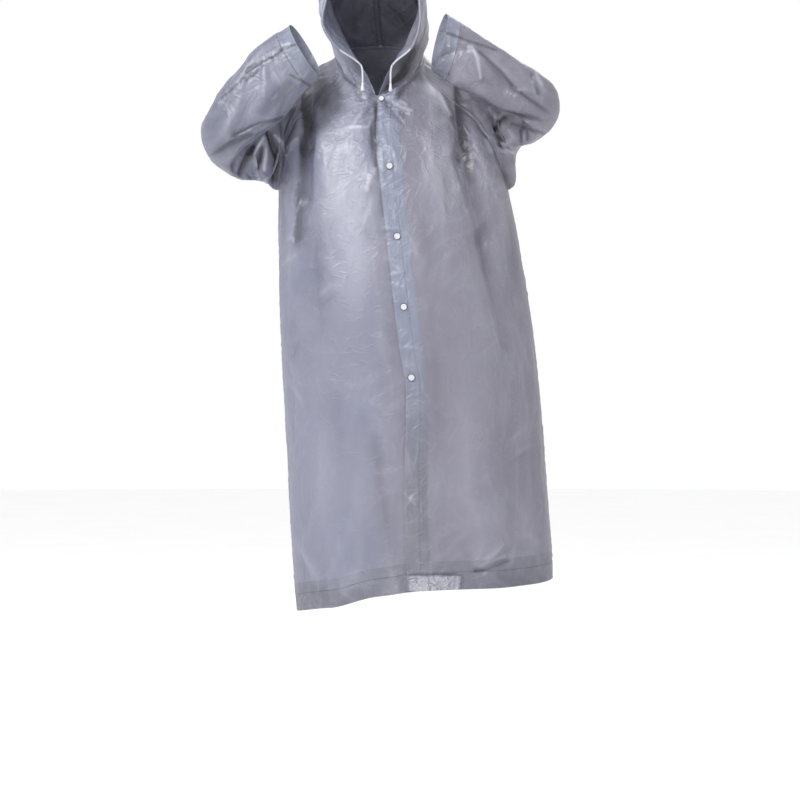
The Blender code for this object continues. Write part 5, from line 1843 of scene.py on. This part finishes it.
class RAINCOAT_OT_studs(bpy.types.Operator):
    """Makes the press studs down the placket"""

    bl_idname = "raincoat.studs"
    bl_label = "Press studs"

    def execute(self, context):
        colours = context.scene.raincoat_colours
        plastic = plastic_material("stud_plastic", colours.plastic, colours.plastic_shade)
        # The ring round each cap takes the dark colour as a painted shadow round the cap
        ring_shadow_plastic = plastic_material("stud_ring_shadow_plastic", colours.dark, colours.film)
        dimple = context.scene.raincoat_sizes.stud_dimple
        for number, row in enumerate(BUTTONS, 1):
            stud = Stud(*row)
            seat, normal = stud_seat(stud)
            turn = Matrix.Translation(seat) @ Vector(normal).to_track_quat("Z", "Y").to_matrix().to_4x4()
            radius = stud.radius * STUD_CAP_SHARE
            cap = [(radius * r, STUD_THICKNESS * h - dimple * d) for r, h, d in STUD_CAP_PROFILE]
            bm = spun(rounded(cap, 0.0005), 48)
            bmesh.ops.transform(bm, matrix=turn, verts=bm.verts)
            stand_for(make_object(f"stud_cap_{number}", bm, plastic), f"button_{number}")
            ring_profile = [(radius * share, height) for share, height in STUD_RING_PROFILE]
            bm = spun(rounded(ring_profile, 0.0002, 2), 48)
            bmesh.ops.transform(bm, matrix=turn, verts=bm.verts)
            ring = make_object(f"stud_ring_{number}", bm, ring_shadow_plastic)
            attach(ring, "root")
        return {"FINISHED"}


class RAINCOAT_PT_pieces(bpy.types.Panel):
    """Lists the coat's pieces and their sizes and colours"""

    bl_idname = "RAINCOAT_PT_pieces"
    bl_label = "Hooded Raincoat"
    bl_space_type = "VIEW_3D"
    bl_region_type = "UI"
    bl_category = "Raincoat"

    def draw(self, context):
        for group in (context.scene.raincoat_sizes, context.scene.raincoat_colours):
            for key in group.__annotations__:
                self.layout.prop(group, key)
        for operator in OPERATORS:
            self.layout.operator(operator.bl_idname)


# The camera and the cords come first
OPERATORS = (
    RAINCOAT_OT_stage,
    RAINCOAT_OT_drawstring,
    RAINCOAT_OT_body,
    RAINCOAT_OT_sleeves,
    RAINCOAT_OT_hood,
    RAINCOAT_OT_studs,
)
CLASSES = (RaincoatSizes, RaincoatColours, *OPERATORS, RAINCOAT_PT_pieces)


def register():
    for each in CLASSES:
        bpy.utils.register_class(each)
    bpy.types.Scene.raincoat_sizes = bpy.props.PointerProperty(type=RaincoatSizes)
    bpy.types.Scene.raincoat_colours = bpy.props.PointerProperty(type=RaincoatColours)


def unregister():
    del bpy.types.Scene.raincoat_colours
    del bpy.types.Scene.raincoat_sizes
    for each in reversed(CLASSES):
        bpy.utils.unregister_class(each)


def main():
    register()
    for step in OPERATORS:
        group, name = step.bl_idname.split(".")
        getattr(getattr(bpy.ops, group), name)()


if __name__ == "__main__":
    main()
